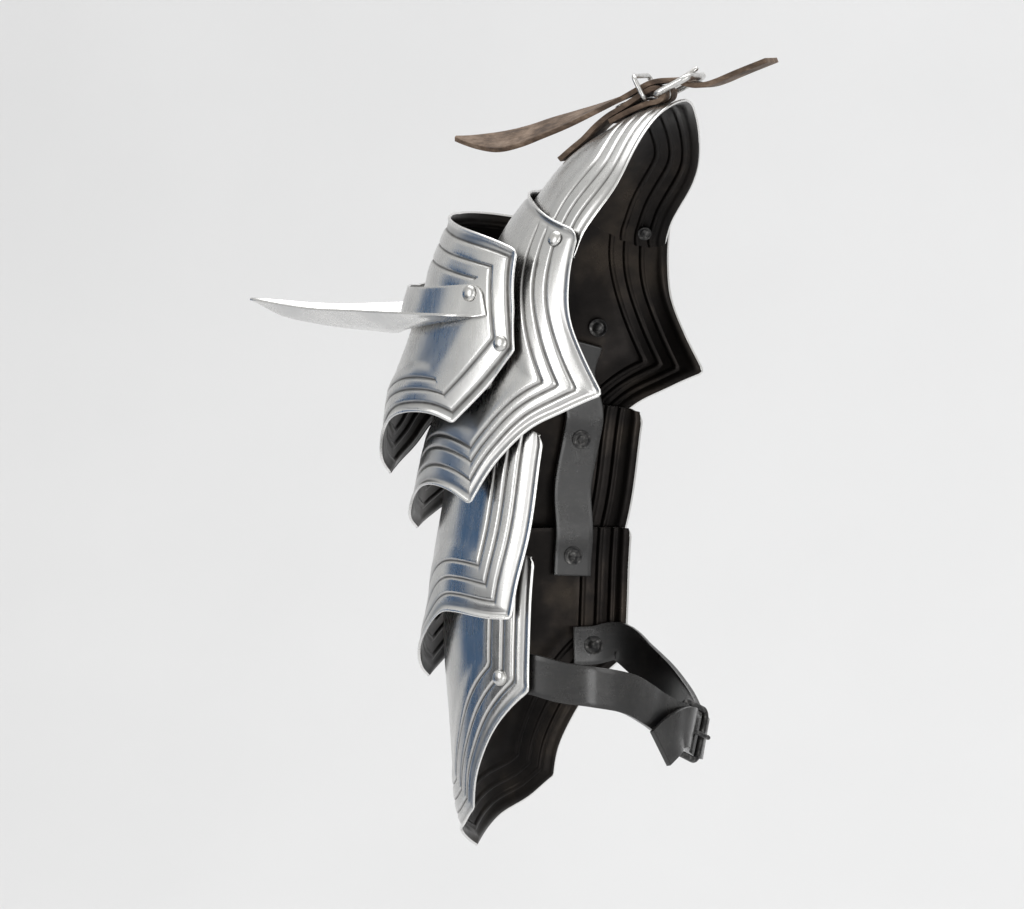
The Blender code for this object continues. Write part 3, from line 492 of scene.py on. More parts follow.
def thicken(made, thickness, offset=-1.0, mirrored=False, inside=0, bevel=0.3):
    """Mirror a half, give it thickness and soften its rim."""
    if mirrored:
        mirror = made.modifiers.new("Mirror", "MIRROR")
        mirror.use_axis = (False, True, False)
        mirror.merge_threshold = 0.0001
    solidify = made.modifiers.new("Solidify", "SOLIDIFY")
    solidify.thickness = thickness * MM
    solidify.offset = offset
    solidify.material_offset = inside
    solidify.use_even_offset = False
    soft = made.modifiers.new("Bevel", "BEVEL")
    soft.width = bevel * MM
    soft.segments = 2
    soft.limit_method = "ANGLE"
    soft.angle_limit = math.radians(60)
    return made


def plate_piece(name, plate, body, finish, free_columns, free_rows, top_lines=(0,), side_lines=CREASE_LINES,
                bottom_lines=CREASE_LINES):
    """A plate's dense skin. Its values of painted shade in the creases and of the rim steer the steel's
    colour.
    """
    places = plate.grid(side_lines, free_columns, bottom_lines, free_rows, top_lines)
    points, crease_shade, rim = plate.shape(places)
    points[:, 0, 1] = 0
    skin = grid_mesh(name + "_skin", points)
    for label, values in (("crease_shade", crease_shade), ("rim", rim)):
        skin.data.attributes.new(label, "FLOAT", "POINT").data.foreach_set("value", values.ravel())
    thicken(skin, SHEET, mirrored=True, inside=1, bevel=0.35)
    show(skin, body, name, finish=finish)


# The wing's flange in the stand-off plate's (along, round): its upper and lower edges from the middle out.
FLANGE_TOP = ((97, 0), (93, 25), (81, 52), (69, 69))
FLANGE_LOW = ((122.5, 0), (114.5, 28), (97, 56), (81.5, 77))
TAB_RADIUS = 5.0
# The blade's middle line (the keel) and its front edge, from the flange to the tip
# Columns: out, keel_x, keel_z, edge_x, edge_y, edge_z
WING_EDGE = (
    (0.06, -140.5, -110.3, -75, -77.2, -96.2),
    (0.2, -152, -109.6, -93, -74.5, -96.2),
    (0.4, -170, -108.3, -122, -57, -97),
    (0.6, -187, -106.2, -153, -35.5, -97.8),
    (0.8, -204, -102.8, -184, -17, -98.2),
    (1.0, -221, -95, -221, -1.5, -95),
)


def wing_points(columns, flange_rows, blade_rows):
    """The flange follows the stand-off plate, and the blade runs from its lower edge to the tip."""
    over = np.linspace(0, 1, columns)
    top, low = Edge(FLANGE_TOP).at(over), Edge(FLANGE_LOW).at(over)
    corner = top[-1]
    top_way, side_way = top[-2] - corner, low[-1] - corner
    rows = []
    for down in np.linspace(0, 1, flange_rows):
        places = top * (1 - down) + low * down
        places = round_corner(places, corner, top_way, side_way, TAB_RADIUS)
        rows.append(FLANGE.at(places[:, 0], places[:, 1]))
    root = rows[-1]
    over = over[:, None]
    bend = root - root[0] * (1 - over) - root[-1] * over
    keel = np.array([(x, 0, z) for _, x, z, _, _, _ in WING_EDGE])
    keel = np.vstack([root[0], keel])
    edge = np.vstack([root[-1], [row[3:] for row in WING_EDGE]])
    marks = [0.0] + [row[0] for row in WING_EDGE]
    for out in np.linspace(0, 1, blade_rows + 1)[1:]:
        row = smooth(marks, keel, out) * (1 - over) + smooth(marks, edge, out) * over
        rows.append(row + bend * (1 - out)**4)
    points = np.array(rows)
    points[:, 0, 1] = 0
    return points


# Straps are read along their length. The shoulder buckle's bar stands over the top plate.
BAR_ALONG, BAR_HEIGHT = 17.0, 5.8
BUCKLE_SLOPE = 27.0
BUCKLE_LENGTH, BUCKLE_WIDTH, BUCKLE_CORNER = 20.0, 26.0, 4.0
FOLD_RADIUS = BUCKLE_WIRE + GAP + LEATHER / 2
PRONG_WIRE = 1.2
KEEPER_WIRE = 1.25
KEEPER_ALONG, KEEPER_FOOT = 22.5, 5.5
KEEPER_WAY = np.array([-0.456, 0, 0.89])
KEEPER_HEIGHT, KEEPER_CORNER, KEEPER_ROOM = 12.2, 2.5, 0.7
# Holes in the straps at their buckles: sizes along, across and through, and places from the bar
SLOT_SIZE = (9.2, 4.2, 13.0)
SLOT_ALONG, SLOT_OUT = 3.0, 0.6
PRONG_HOLE_SIZE = (13.0, 3.6, 14.0)
PRONG_HOLE_SHARE, PRONG_HOLE_OUT = 0.58, 2.0
ARM_HOLE_SIZE = (14.0, 3.6, 14.0)
ARM_HOLE_ALONG, ARM_HOLE_OUT = 12.0, 3.0
# Columns: along, height over the top plate
CHAPE_UPPER = ((76, 2.5), (68, 2.0), (60, 2.2), (51, 4.2), (43, 5.5), (36, 5.8), (29, 6.8), (22.5, 8.4))
CHAPE_LOWER = ((22, 2.6), (29, 2.6), (36, 2.6), (44, 2.6))
CHAPE_RIVET_ALONG = 37.0
# Columns: x, z, twist in degrees, half_width
HANGING_STRAP = (
    (59, 28.2, 0, 10),
    (53, 25.9, 0, 10),
    (47, 23.6, 0, 10),
    (40, 20.8, 0, 10),
    (33, 17.9, 0, 10),
    (27, 16.1, 0, 10),
    (21.5, 15.6, 0, 10),
    (16.5, 16.6, 0, 10),
    (11, 17.9, 0, 10),
    (5, 18.0, 0, 10),
    (-1, 16.9, 0, 10),
    (-7, 14.4, 2, 10),
    (-16.7, 9.8, 6, 10),
    (-30.6, 4.0, 12, 10),
    (-45.8, -1.8, 20, 10),
    (-59.3, -6.4, 25, 10),
    (-71.3, -10.6, 27, 10),
    (-82.7, -13.2, 27, 9.6),
    (-95, -13.4, 25, 6.4),
    (-103, -12.8, 24, 3.2),
    (-108.6, -12.0, 24, 0.9),
)


def ribbon_points(stations, across, parts):
    """Rows of points along a strap: stations are (centre, width direction, half width)."""
    centres = np.array([row[0] for row in stations], float)
    guides = np.array([row[1] for row in stations], float)
    halves = np.array([[row[2]] for row in stations], float)
    steps = np.linalg.norm(np.diff(centres, axis=0), axis=1)
    marks = np.concatenate([[0.0], np.cumsum(steps)])
    where = np.interp(np.arange((len(marks) - 1) * parts + 1) / parts, np.arange(len(marks)), marks)
    centre, guide, half = (smooth(marks, table, where) for table in (centres, guides, halves))
    run = np.gradient(centre, axis=0)
    run /= np.linalg.norm(run, axis=1, keepdims=True)
    guide -= run * (guide * run).sum(1, keepdims=True)
    guide /= np.linalg.norm(guide, axis=1, keepdims=True)
    spread = np.linspace(-1, 1, across)[None, :, None]
    return centre[:, None] + guide[:, None] * half[:, None] * spread


# The inner leathers hang the lames: each station lies on a plate's inner face.
LEATHER_INSET = SHEET + RIB_SINK + GAP + LEATHER / 2
LEATHER_STATIONS = (
    (MAIN, 103, 80, 1.0),
    (MAIN, *LEATHER_RIVETS_AT[0], 1.0),
    (UPPER, -12, 83, 2.1),
    (UPPER, *LEATHER_RIVETS_AT[1], 1.5),
    (UPPER, 25, 82, 2.8),
    (LOWER, 7, 81.5, 1.5),
    (LOWER, *LEATHER_RIVETS_AT[2], 1.1),
    (LOWER, 28, 81.5, 1.1),
)


def surface_way(surface, along, around):
    """The direction round a surface at a place."""
    way = surface.at(along, around + 0.5) - surface.at(along, around - 0.5)
    return way / np.linalg.norm(way)


# Columns: x, y, z
ARM_FRONT = (
    (-26, -70.5, -277.6),
    (-10, -67, -279.6),
    (3, -56, -283.5),
    (9, -44, -290),
    (12.2, -34.5, -295.3),
)
ARM_REAR = (
    (-31, 69, -283.5),
    (-15, 61, -293),
    (0, 47, -302.5),
    (12, 31, -311),
)
ARM_BAR = np.array([16.8, -15.0, -304])
ARM_LONG_WAY = (0.228, 0.9, -0.37)
ARM_BUCKLE_LENGTH = 22.0
# Along the buckle, out from the arm and up, from the bar
ARM_FOLD_OUT = ((-12, 1.9), (-6, 2.9))
ARM_FOLD_BACK = ((-6, -2.2), (-12, -1.0))
ARM_TONGUE = ((29, -3.6, 0), (22, -3.7, 0), (13.5, -1.4, 0), (6, 3.8, 0), (-1, 6.6, -0.5), (-9, 6.8, -4),
              (-17, 7, -11), (-24, 7, -18))
TONGUE_UP = (-0.3, -0.16, 0.94)
# The tongue turns to TONGUE_UP where it hangs further below the bar than this.
TONGUE_TURNS_AT = -5.0
ARM_STRAP_AT = (66.5, 93.0)
ARM_STRAP_INSET = LEATHER_INSET + 0.2
# An arm strap's end and exit inside the lower lame, as steps (along, round) from its rivet
ARM_STRAP_ROOT = ((0.0, -11.0), (0.0, 0.0), (-2.0, 13.0))
UPRIGHT = (0.0, 0.0, 1.0)


def strap_root(sign):
    """Where an arm strap lies inside the lower lame, from its end past its rivet to the edge."""
    stations = []
    for down, out in ARM_STRAP_ROOT:
        along, around = ARM_STRAP_AT[0] + down, (ARM_STRAP_AT[1] + out) * sign
        stations.append(LOWER.at(along, around) - LOWER.normal(along, around) * ARM_STRAP_INSET)
    return stations


def ribbon(name, stations, parts, across=9):
    """A strap of leather with rounded edges along its stations."""
    made = grid_mesh(name, ribbon_points(stations, across, parts))
    return thicken(made, LEATHER, offset=0.0, bevel=0.7)


def cut(made, name, centre, axes, size):
    """Cut a block's hole before the edges are rounded."""
    mesh = bpy.data.meshes.new(name)
    bm = bmesh.new()
    bmesh.ops.create_cube(bm, size=1)
    frame = np.array([np.array(axis, float) / np.linalg.norm(axis) for axis in axes])
    for vertex in bm.verts:
        vertex.co = Vector((np.array(centre) + (np.array(vertex.co) * np.array(size)) @ frame) * MM)
    bm.to_mesh(mesh)
    bm.free()
    cutter = bpy.data.objects.new(name, mesh)
    bpy.context.scene.collection.objects.link(cutter)
    hole = made.modifiers.new("Hole", "BOOLEAN")
    hole.object = cutter
    hole.solver = "EXACT"
    made.modifiers.move(len(made.modifiers) - 1, 1)
    bpy.context.view_layer.update()
    shown = made.evaluated_get(bpy.context.evaluated_depsgraph_get())
    mesh = bpy.data.meshes.new_from_object(shown)
    made.modifiers.clear()
    made.data = mesh
    bpy.data.objects.remove(cutter)


# A wire's rounded end: a narrower ring at a share of its radius, and a last one almost closed
END_SHOULDER, END_WIDTH, END_POINT = 0.75, 0.66, 0.05


def ring(first_way, second_way, sides):
    """A circle of radius 1 in the plane of two directions."""
    angles = np.linspace(0, math.tau, sides, endpoint=False)[:, None]
    return np.cos(angles) * first_way + np.sin(angles) * second_way


def tube(name, path, radius, cyclic=False, sides=12):
    """A round wire along a path, with rounded ends."""
    path = np.array(path, float)
    if cyclic:
        run = np.roll(path, -1, 0) - np.roll(path, 1, 0)
    else:
        run = np.gradient(path, axis=0)
    run /= np.linalg.norm(run, axis=1, keepdims=True)
    first = np.cross(run[0], (0.3, 0.9, 0.2))
    rows = []
    for way in run:
        first = first - way * (first @ way)
        first /= np.linalg.norm(first)
        rows.append(ring(first, np.cross(way, first), sides))
    rings = [place + row * radius for place, row in zip(path, rows)]
    if not cyclic:
        shoulder, tip = radius * END_SHOULDER, radius * END_WIDTH
        rings.insert(0, path[0] - run[0] * shoulder + rows[0] * tip)
        rings.insert(0, path[0] - run[0] * radius + rows[0] * END_POINT)
        rings.append(path[-1] + run[-1] * shoulder + rows[-1] * tip)
        rings.append(path[-1] + run[-1] * radius + rows[-1] * END_POINT)
    return ring_mesh(name, np.array(rings), cyclic)


def loop_path(centre, long_way, wide_way, length, width, corner, turns=8):
    """A rectangle with round corners, as points round a centre."""
    centre, long_way, wide_way = (np.array(v, float) for v in (centre, long_way, wide_way))
    path = []
    for sign_a, sign_b, start in ((1, 1, 0), (-1, 1, 90), (-1, -1, 180), (1, -1, 270)):
        middle = (sign_a * (length / 2 - corner), sign_b * (width / 2 - corner))
        for k in range(turns + 1):
            angle = math.radians(start + 90 * k / turns)
            a = middle[0] + corner * math.cos(angle)
            b = middle[1] + corner * math.sin(angle)
            path.append(centre + long_way * a + wide_way * b)
    return path


def on_top(along, height):
    """A point over the top plate's middle line."""
    return TOP.at(along, 0.0) + TOP.normal(along, 0.0) * height


def fold(centre, first_way, second_way, start, end, turns=5):
    """Points of a strap's fold round a bar, from one angle to another in degrees."""
    first_way, second_way = np.array(first_way), np.array(second_way)
    return [np.array(centre) + FOLD_RADIUS * (math.cos(a) * first_way + math.sin(a) * second_way)
            for a in np.radians(np.linspace(start, end, turns))]


# The angles of a prong's hook round its bar, in degrees
PRONG_HOOK = (-60, 30)


def prong_path(bar, long_way, up_way, length):
    """A prong hooks round the bar and rests on the far side of the frame."""
    hook = BUCKLE_WIRE + GAP + PRONG_WIRE
    path = [bar + hook * (math.cos(a) * long_way + math.sin(a) * up_way)
            for a in np.radians(np.linspace(*PRONG_HOOK, 10))]
    path.append(bar + long_way * length * 0.55 + up_way * (hook - 1.0))
    path.append(bar + long_way * (length + 1.5) + up_way * (hook + 0.05))
    return path


def buckle(body, finish, bar, ways, length):
    """A wire frame round a bar and its prong. The ways run along, across and out from the strap."""
    long_way, wide_way, out_way = ways
    centre = bar + long_way * length / 2
    path = loop_path(centre, long_way, wide_way, length, BUCKLE_WIDTH, BUCKLE_CORNER)
    made = tube(body + "_buckle_frame", path, BUCKLE_WIRE, cyclic=True)
    show(made, body, body + "_buckle", finish=finish)
    made = tube(body + "_buckle_prong", prong_path(bar, long_way, out_way, length), PRONG_WIRE)
    show(made, body, body + "_prong", finish=finish)


# A rivet's shank, the least reach of its head, the flat rim under its dome, and its sides
SHANK_RADIUS = 1.9
HEAD_REACH = 3.6
DOME_RIM = 0.25
RIVET_SIDES = 28
# The washer's face and rim over the rivet's foot
WASHER_BACK, WASHER_FRONT, WASHER_BEVEL = 0.45, 0.9, 0.15


def rivet_piece(name, place, axis, body, finish, domed):
    """Turn a smooth rivet over the CAD rivet, whose heights it reads from that node."""
    place, axis = np.array(place, float), np.array(axis, float)
    node = frame["nodes"][name]
    spots = np.array([tuple(v.co) for v in node.data.vertices]) / MM - place
    height = spots @ axis
    reach = np.linalg.norm(spots - height[:, None] * axis, axis=1)
    head = height[(reach > HEAD_REACH) & (height > 0)].min()
    top = height.max()
    foot = height.min()
    washer = reach[height < 0].max()
    wide = reach[(height > 0)].max()
    if domed:
        rise = top - head - DOME_RIM
        profile = [(wide * math.sin(a), head + DOME_RIM + rise * math.cos(a))
                   for a in np.radians(np.linspace(0, 90, 9))]
        profile.append((wide, head))
    else:
        profile = [(0, top), (wide * .8, top), (wide * .93, top - .12), (wide, top - .4), (wide, head)]
    back, front, bevel, shank = foot + WASHER_BACK, foot + WASHER_FRONT, WASHER_BEVEL, SHANK_RADIUS
    profile += [(shank, head), (shank, front), (washer - bevel, front), (washer, front - bevel),
                (washer, back + bevel), (washer - bevel, back), (washer * .78, back),
                (washer * .74, back + .12), (washer * .56, back + .12), (washer * .52, back),
                (shank * 1.2, back), (shank * 1.12, foot + .15), (shank * .7, foot - .1), (0, foot - .2)]
    first = np.cross(axis, (0.1, 0.2, 0.97))
    first /= np.linalg.norm(first)
    circle = ring(first, np.cross(axis, first), RIVET_SIDES)
    rings = np.array([place + axis * h + circle * max(r, .02) for r, h in profile])
    made = ring_mesh(name + "_turned", rings)
    made.data.set_sharp_from_angle(angle=math.radians(38))
    show(made, body, name, finish=finish)
    for face in made.data.polygons:
        face.material_index = int((np.array(face.center) / MM - place) @ axis < head - .5)


def node_material(name):
    """A new material, its node tree and its shader."""
    made = bpy.data.materials.new(name)
    made.use_nodes = True
    return made, made.node_tree, made.node_tree.nodes["Principled BSDF"]


def noise(tree, scale, detail=4.0, stretch=(1, 1, 1), rough=0.55):
    """Noise in object space, stretched along the axes."""
    where = tree.nodes.new("ShaderNodeTexCoord")
    turn = tree.nodes.new("ShaderNodeMapping")
    turn.inputs["Scale"].default_value = stretch
    made = tree.nodes.new("ShaderNodeTexNoise")
    made.inputs["Scale"].default_value = scale
    made.inputs["Detail"].default_value = detail
    made.inputs["Roughness"].default_value = rough
    tree.links.new(where.outputs["Object"], turn.inputs["Vector"])
    tree.links.new(turn.outputs["Vector"], made.inputs["Vector"])
    return made.outputs["Fac"]


def ramp(tree, value, stops):
    """Colours or greys over a value."""
    made = tree.nodes.new("ShaderNodeValToRGB")
    while len(made.color_ramp.elements) < len(stops):
        made.color_ramp.elements.new(0.5)
    for stop, (place, colour) in zip(made.color_ramp.elements, stops):
        stop.position = place
        colour = (colour, colour, colour) if isinstance(colour, (int, float)) else colour
        stop.color = (*colour, 1)
    tree.links.new(value, made.inputs["Fac"])
    return made.outputs["Color"]


def mix(tree, kind, share, first, second):
    """Mix two colours in a blend mode. Each input is a plain value or another node's output."""
    made = tree.nodes.new("ShaderNodeMix")
    made.data_type = "RGBA"
    made.blend_type = kind
    for socket, value in ((made.inputs[0], share), (made.inputs[6], first), (made.inputs[7], second)):
        if isinstance(value, float):
            socket.default_value = value
        elif isinstance(value, tuple):
            socket.default_value = (*value, 1)
        else:
            tree.links.new(value, socket)
    return made.outputs[2]


def bump(tree, shader, *layers):
    """Bumps one on another: (height, distance in metres, strength)."""
    last = None
    for height, distance, strength in layers:
        made = tree.nodes.new("ShaderNodeBump")
        made.inputs["Distance"].default_value = distance
        made.inputs["Strength"].default_value = strength
        tree.links.new(height, made.inputs["Height"])
        if last:
            tree.links.new(last, made.inputs["Normal"])
        last = made.outputs["Normal"]
    tree.links.new(last, shader.inputs["Normal"])


def surface_value(tree, name):
    """A value kept on the mesh, such as the painted shade in the creases."""
    made = tree.nodes.new("ShaderNodeAttribute")
    made.attribute_name = name
    return made.outputs["Fac"]


def satin_steel():
    """Polished mild steel: clouding, fine rubbing marks, painted shade in the creases and bright rubbed
    rims.
    """
    made, tree, shader = node_material("satin_steel_plate")
    shader.inputs["Metallic"].default_value = 1.0
    cloud = noise(tree, 24, 7, rough=0.62)
    rub = noise(tree, 520, 3, (1, 1, .1))
    speck = noise(tree, 900, 4)
    plain = ramp(tree, cloud, [(.3, (.56, .56, .555)), (.5, (.66, .655, .645)), (.72, (.73, .725, .71))])
    patchy = ramp(tree, noise(tree, 130, 6), [(.35, .8), (.6, .95)])
    # Painted shade: the crease mask darkens the colour towards near black in the creases and the channel,
    # broken into patches, and makes it rougher there.
    dark = mix(tree, "MULTIPLY", 1.0, surface_value(tree, "crease_shade"), patchy)
    colour = mix(tree, "MIX", dark, plain, (.09, .085, .08))
    colour = mix(tree, "MIX", surface_value(tree, "rim"), colour, (.82, .815, .80))
    tree.links.new(colour, shader.inputs["Base Color"])
    clouded = ramp(tree, cloud, [(.3, .35), (.7, .25)])
    rubbed = ramp(tree, rub, [(.35, .85), (.65, 1.0)])
    rough = mix(tree, "MULTIPLY", 1.0, clouded, rubbed)
    tree.links.new(mix(tree, "MIX", dark, rough, (.5, .5, .5)), shader.inputs["Roughness"])
    bump(tree, shader, (noise(tree, 18, 2), .0012, .22), (rub, .00005, .18), (speck, .00004, .2))
    return made


def inner_steel_painted_shade():
    """The plates' unpolished inner face with brown stains, its colour painted near black as the shade inside
    the plates.
    """
    made, tree, shader = node_material("unpolished_steel_painted_shade")
    shader.inputs["Metallic"].default_value = 0.85
    stain = noise(tree, 34, 8)
    # Painted shade: the stain colours are kept near black to stand in for the shade inside the plates; the
    # brown of the stains is the steel's own.
    colours = [(.3, (.004, .0035, .0035)), (.52, (.012, .010, .009)), (.72, (.034, .027, .021))]
    tree.links.new(ramp(tree, stain, colours), shader.inputs["Base Color"])
    tree.links.new(ramp(tree, stain, [(.3, .46), (.7, .26)]), shader.inputs["Roughness"])
    bump(tree, shader, (noise(tree, 180, 6), .0002, .35), (noise(tree, 24, 2), .0008, .25))
    return made


def bright_steel():
    """Buckles and rivet heads, polished and finely spotted."""
    made, tree, shader = node_material("bright_steel_fitting")
    shader.inputs["Metallic"].default_value = 1.0
    spot = noise(tree, 300, 5)
    colour = ramp(tree, spot, [(.3, (.52, .51, .49)), (.7, (.68, .68, .67))])
    tree.links.new(colour, shader.inputs["Base Color"])
    tree.links.new(ramp(tree, spot, [(.3, .34), (.7, .24)]), shader.inputs["Roughness"])
    bump(tree, shader, (noise(tree, 500, 3), .00005, .2))
    return made


LEATHER_SPECULAR = 0.4
COAT_ROUGHNESS = 0.22


def leather(name, colours, rough, grain, fibre, depth, coat=0.0):
    """Leather with a pebbled grain, fibres along the strap, creases and scuffed patches."""
    made, tree, shader = node_material(name)
    patch = noise(tree, 55, 8, rough=0.68)
    fibres = noise(tree, fibre[0], fibre[1], (.25, 1, 1), rough=0.7)
    both = mix(tree, "OVERLAY", .8, patch, fibres)
    tree.links.new(ramp(tree, both, list(zip((.28, .5, .74), colours))), shader.inputs["Base Color"])
    tree.links.new(ramp(tree, patch, [(.3, rough[0]), (.7, rough[1])]), shader.inputs["Roughness"])
    cells = tree.nodes.new("ShaderNodeTexVoronoi")
    cells.inputs["Scale"].default_value = grain
    cells.feature = "DISTANCE_TO_EDGE"
    where = tree.nodes.new("ShaderNodeTexCoord")
    tree.links.new(where.outputs["Object"], cells.inputs["Vector"])
    bump(tree, shader, (ramp(tree, cells.outputs["Distance"], [(.0, .0), (.12, 1.0)]), depth, .4),
         (fibres, depth * 2, .45), (noise(tree, 45, 3), .0007, .3))
    shader.inputs["Specular IOR Level"].default_value = LEATHER_SPECULAR
    shader.inputs["Coat Weight"].default_value = coat
    shader.inputs["Coat Roughness"].default_value = COAT_ROUGHNESS
    return made


def black_steel():
    """Near-black steel, rubbed grey in patches."""
    made, tree, shader = node_material("black_steel_fitting")
    shader.inputs["Metallic"].default_value = 0.9
    worn = noise(tree, 420, 6)
    colour = ramp(tree, worn, [(.35, (.02, .02, .021)), (.55, (.055, .054, .053)), (.72, (.17, .165, .16))])
    tree.links.new(colour, shader.inputs["Base Color"])
    tree.links.new(ramp(tree, worn, [(.3, .5), (.7, .3)]), shader.inputs["Roughness"])
    bump(tree, shader, (noise(tree, 700, 4), .0001, .35))
    return made


# Dark, middle and light colours of each leather
BROWN = ((.026, .016, .011), (.105, .069, .046), (.25, .18, .13))
BLACK = ((.003, .003, .0035), (.007, .0065, .0065), (.018, .017, .016))

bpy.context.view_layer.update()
plate_steel = (satin_steel(), inner_steel_painted_shade())
bright = bright_steel()
dark = black_steel()
riveted = (bright, dark)
brown = leather("brown_leather_strap", BROWN, rough=(.85, .6), grain=900, fibre=(300, 6), depth=.00016)
black = leather("black_leather_strap", BLACK, rough=(.36, .22), grain=1100, fibre=(420, 4), depth=.00007,
                coat=.6)

plate_piece("top_plate", TOP_PLATE, "shoulder", plate_steel, 40, 30, top_lines=CREASE_LINES, side_lines=(0,),
            bottom_lines=(0,))
plate_piece("main_plate", MAIN_PLATE, "arm", plate_steel, 34, 50, top_lines=RIM_LINES)
plate_piece("standoff_plate", STANDOFF_PLATE, "arm", plate_steel, 26, 34, top_lines=CREASE_LINES)
plate_piece("upper_arm_lame", UPPER_LAME, "arm", plate_steel, 34, 36)
plate_piece("lower_arm_lame", LOWER_LAME, "arm", plate_steel, 34, 46)

blade = thicken(grid_mesh("wing_blade_skin", wing_points(42, 14, 46)), SHEET, mirrored=True, bevel=0.3)
show(blade, "arm", "wing_blade", finish=plate_steel[0])

half = STRAP_WIDTH / 2
wide = np.array([0.0, 1.0, 0.0])
bar = on_top(BAR_ALONG, BAR_HEIGHT)
slope = math.radians(BUCKLE_SLOPE)
long_way = np.array([math.cos(slope), 0, math.sin(slope)])
up_way = np.array([-math.sin(slope), 0, math.cos(slope)])
path = [on_top(*row) for row in CHAPE_UPPER] + fold(bar, (1, 0, 0), (0, 0, 1), 100, -80)
path += [on_top(*row) for row in CHAPE_LOWER]
chape = ribbon("chape_leather", [(place, wide, half) for place in path], 7)
ways = (long_way, wide, up_way)
cut(chape, "chape_slot", bar + long_way * SLOT_ALONG + up_way * SLOT_OUT, ways, SLOT_SIZE)
show(chape, "shoulder", "chape_strap", finish=brown)
buckle("shoulder", bright, bar, ways, BUCKLE_LENGTH)
keeper_width = 2 * (half + GAP + KEEPER_WIRE + KEEPER_ROOM)
centre = on_top(KEEPER_ALONG, KEEPER_FOOT) + KEEPER_WAY * KEEPER_HEIGHT / 2
path = loop_path(centre, KEEPER_WAY, wide, KEEPER_HEIGHT, keeper_width, KEEPER_CORNER)
made = tube("strap_keeper_ring", path, KEEPER_WIRE, cyclic=True)
show(made, "shoulder", "strap_keeper", finish=bright)
stations = []
for x, z, twist, half_width in HANGING_STRAP:
    twist = math.radians(twist)
    stations.append(((x, 0, z), (0, math.cos(twist), math.sin(twist)), half_width))
hanging = ribbon("hanging_leather", stations, 8)
hole_at = bar + long_way * BUCKLE_LENGTH * PRONG_HOLE_SHARE + up_way * PRONG_HOLE_OUT
cut(hanging, "prong_hole", hole_at, ways, PRONG_HOLE_SIZE)
show(hanging, "shoulder", "hanging_strap", finish=brown)

for side, sign in (("front", 1), ("rear", -1)):
    stations = []
    for surface, along, around, extra in LEATHER_STATIONS:
        around = around * sign
        place = surface.at(along, around) - surface.normal(along, around) * (LEATHER_INSET + extra)
        stations.append((place, surface_way(surface, along, around), half))
    made = ribbon("lame_leather_strap_" + side, stations, 12)
    show(made, "arm", "lame_leather_" + side, finish=black)

long_way = np.array(ARM_LONG_WAY) / np.linalg.norm(ARM_LONG_WAY)
up_way = np.array(UPRIGHT) - long_way * long_way[2]
up_way /= np.linalg.norm(up_way)
out_way = np.cross(long_way, up_way)
ways = (long_way, up_way, out_way)
front = [(place, UPRIGHT, half) for place in strap_root(1) + [np.array(row, float) for row in ARM_FRONT]]
turned = [ARM_BAR + long_way * a + out_way * b for a, b in ARM_FOLD_OUT]
turned += fold(ARM_BAR, long_way, out_way, 90, -90)
turned += [ARM_BAR + long_way * a + out_way * b for a, b in ARM_FOLD_BACK]
front += [(place, up_way, half) for place in turned]
made = ribbon("arm_leather_front", front, 7)
cut(made, "arm_slot", ARM_BAR + long_way * SLOT_ALONG + out_way * SLOT_OUT, ways, SLOT_SIZE)
show(made, "arm", "arm_strap_front", finish=black)
rear = [(place, UPRIGHT, half) for place in strap_root(-1) + [np.array(row, float) for row in ARM_REAR]]
for a, b, c in ARM_TONGUE:
    place = ARM_BAR + long_way * a + out_way * b + up_way * c
    rear.append((place, TONGUE_UP if c < TONGUE_TURNS_AT else up_way, half))
made = ribbon("arm_leather_rear", rear, 8)
hole_at = ARM_BAR + long_way * ARM_HOLE_ALONG + out_way * ARM_HOLE_OUT
cut(made, "arm_prong_hole", hole_at, ways, ARM_HOLE_SIZE)
show(made, "arm", "arm_strap_rear", finish=black)
buckle("arm", dark, ARM_BAR, ways, ARM_BUCKLE_LENGTH)

place, axis = on_top(CHAPE_RIVET_ALONG, 0.0), TOP.normal(CHAPE_RIVET_ALONG, 0.0)
rivet_piece("chape_rivet", place, axis, "shoulder", riveted, domed=False)
for side, sign in (("front", 1), ("rear", -1)):
    for name, surface, (along, around), domed in (
            ("pivot_rivet", MAIN, PIVOT_AT, True),
            ("standoff_rivet", STANDOFF, STANDOFF_RIVET_AT, True),
            ("wing_rivet", FLANGE, WING_RIVET_AT, True),
            ("leather_rivet_1", MAIN, LEATHER_RIVETS_AT[0], False),
            ("leather_rivet_2", UPPER, LEATHER_RIVETS_AT[1], False),
            ("leather_rivet_3", LOWER, LEATHER_RIVETS_AT[2], False),
            ("arm_strap_rivet", LOWER, ARM_STRAP_AT, True)):
        place, axis = surface.at(along, around * sign), surface.normal(along, around * sign)
        rivet_piece(f"{name}_{side}", place, axis, "arm", riveted, domed)

# The studio, in metres: a pale floor that curves up into a backdrop
FLOOR_HEIGHT = -1.25
FLOOR_FRONT, FLOOR_BACK, FLOOR_SIDE, FLOOR_TOP = -4.0, 2.2, 7.0, 5.0
FLOOR_CURVE = 1.2
profile = [(FLOOR_FRONT, 0), (0, 0), (FLOOR_BACK, 0)]
for angle in np.radians(np.arange(10, 91, 10)):
    profile.append((FLOOR_BACK + FLOOR_CURVE * math.sin(angle), FLOOR_CURVE * (1 - math.cos(angle))))
profile.append((FLOOR_BACK + FLOOR_CURVE, FLOOR_TOP))
rows = [[(x, y, z + FLOOR_HEIGHT) for x in (-FLOOR_SIDE, 0, FLOOR_SIDE)] for y, z in profile]
floor = grid_mesh("floor", np.array(rows, float) / MM)
pale, tree, shader = node_material("pale_floor")
shader.inputs["Roughness"].default_value = 0.9
tree.links.new(ramp(tree, noise(tree, 3, 3), [(.3, (.75, .75, .755)), (.7, (.77, .77, .775))]),
               shader.inputs["Base Color"])
floor.data.materials.append(pale)


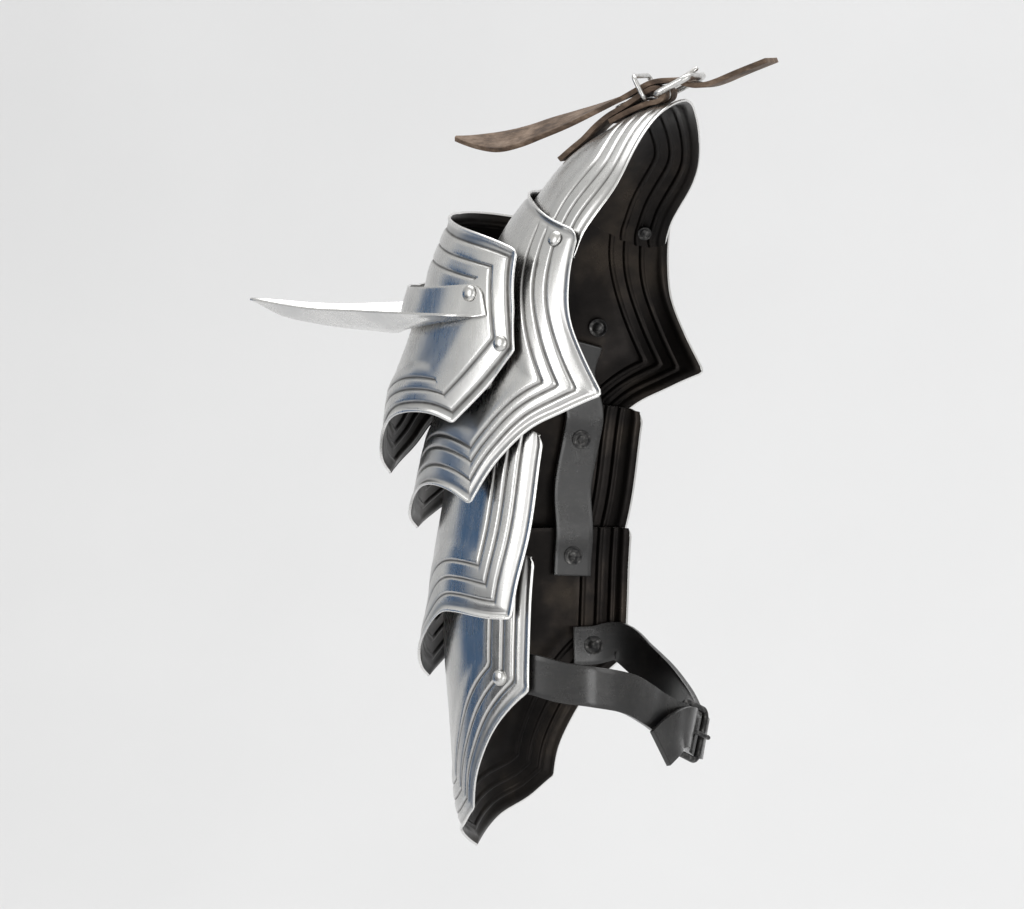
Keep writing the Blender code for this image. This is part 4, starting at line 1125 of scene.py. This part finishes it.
def card(name, place, size, colour):
    """A coloured card beside the set. It shows only where the steel mirrors it."""
    half_width, half_height = size[0] / 2, size[1] / 2
    corners = [[(0, sign_y * half_width, sign_z * half_height) for sign_y in (-1, 1)] for sign_z in (-1, 1)]
    made = grid_mesh(name, np.array(corners, float) / MM)
    made.location = place
    finish, tree, shader = node_material(name)
    shader.inputs["Base Color"].default_value = (*colour, 1)
    shader.inputs["Roughness"].default_value = 1.0
    made.data.materials.append(finish)
    made.visible_camera = False
    made.visible_shadow = False


card("blue_card", (-2.3, -0.05, -0.35), (1.15, 1.7), (.012, .07, .17))
card("dark_card", (-1.9, -1.45, -0.85), (1.6, 1.1), (.03, .032, .036))


def soft_light(name, place, size, power, aim=(-0.06, 0, -0.17)):
    """A rectangular softbox, seen in the steel but not by the camera."""
    lamp = bpy.data.lights.new(name, "AREA")
    lamp.shape = "RECTANGLE"
    lamp.size, lamp.size_y = size
    lamp.energy = power
    made = bpy.data.objects.new(name, lamp)
    made.location = place
    made.rotation_euler = (Vector(aim) - Vector(place)).to_track_quat("-Z", "Y").to_euler()
    made.visible_camera = False
    bpy.context.scene.collection.objects.link(made)


soft_light("key_light", (-1.4, -2.3, 0.45), (1.1, 2.0), 20)
soft_light("front_light", (1.05, -2.45, -0.55), (0.8, 0.7), 8.5, aim=(0, -0.05, -0.29))
soft_light("side_light", (2.2, -1.8, 0.5), (1.4, 2.2), 16)
soft_light("top_light", (-0.3, 0.2, 2.3), (2.4, 2.4), 40)
soft_light("back_light", (0.0, 1.0, 3.2), (4.0, 1.4), 50, aim=(0, 3.4, 0.2))

world = bpy.data.worlds.new("studio")
bpy.context.scene.world = world
world.use_nodes = True
sky = world.node_tree.nodes["Background"]
sky.inputs["Color"].default_value = (0.88, 0.88, 0.865, 1)
sky.inputs["Strength"].default_value = 0.75

# The camera looks at the target from 20 degrees round and 5 degrees up, in metres.
camera_data = bpy.data.cameras.new("camera")
camera_data.sensor_width = 36
camera_data.lens = 180
camera = bpy.data.objects.new("camera", camera_data)
bpy.context.scene.collection.objects.link(camera)
target = Vector((-0.078, 0.0, -0.172))
azimuth, elevation, distance = math.radians(20), math.radians(5), 2.6
level = math.cos(elevation)
back = Vector((math.sin(azimuth) * level, -math.cos(azimuth) * level, math.sin(elevation)))
camera.location = target + back * distance
camera.rotation_euler = (-back).to_track_quat("-Z", "Y").to_euler()
bpy.context.scene.camera = camera
bpy.context.scene.view_settings.view_transform = "Standard"
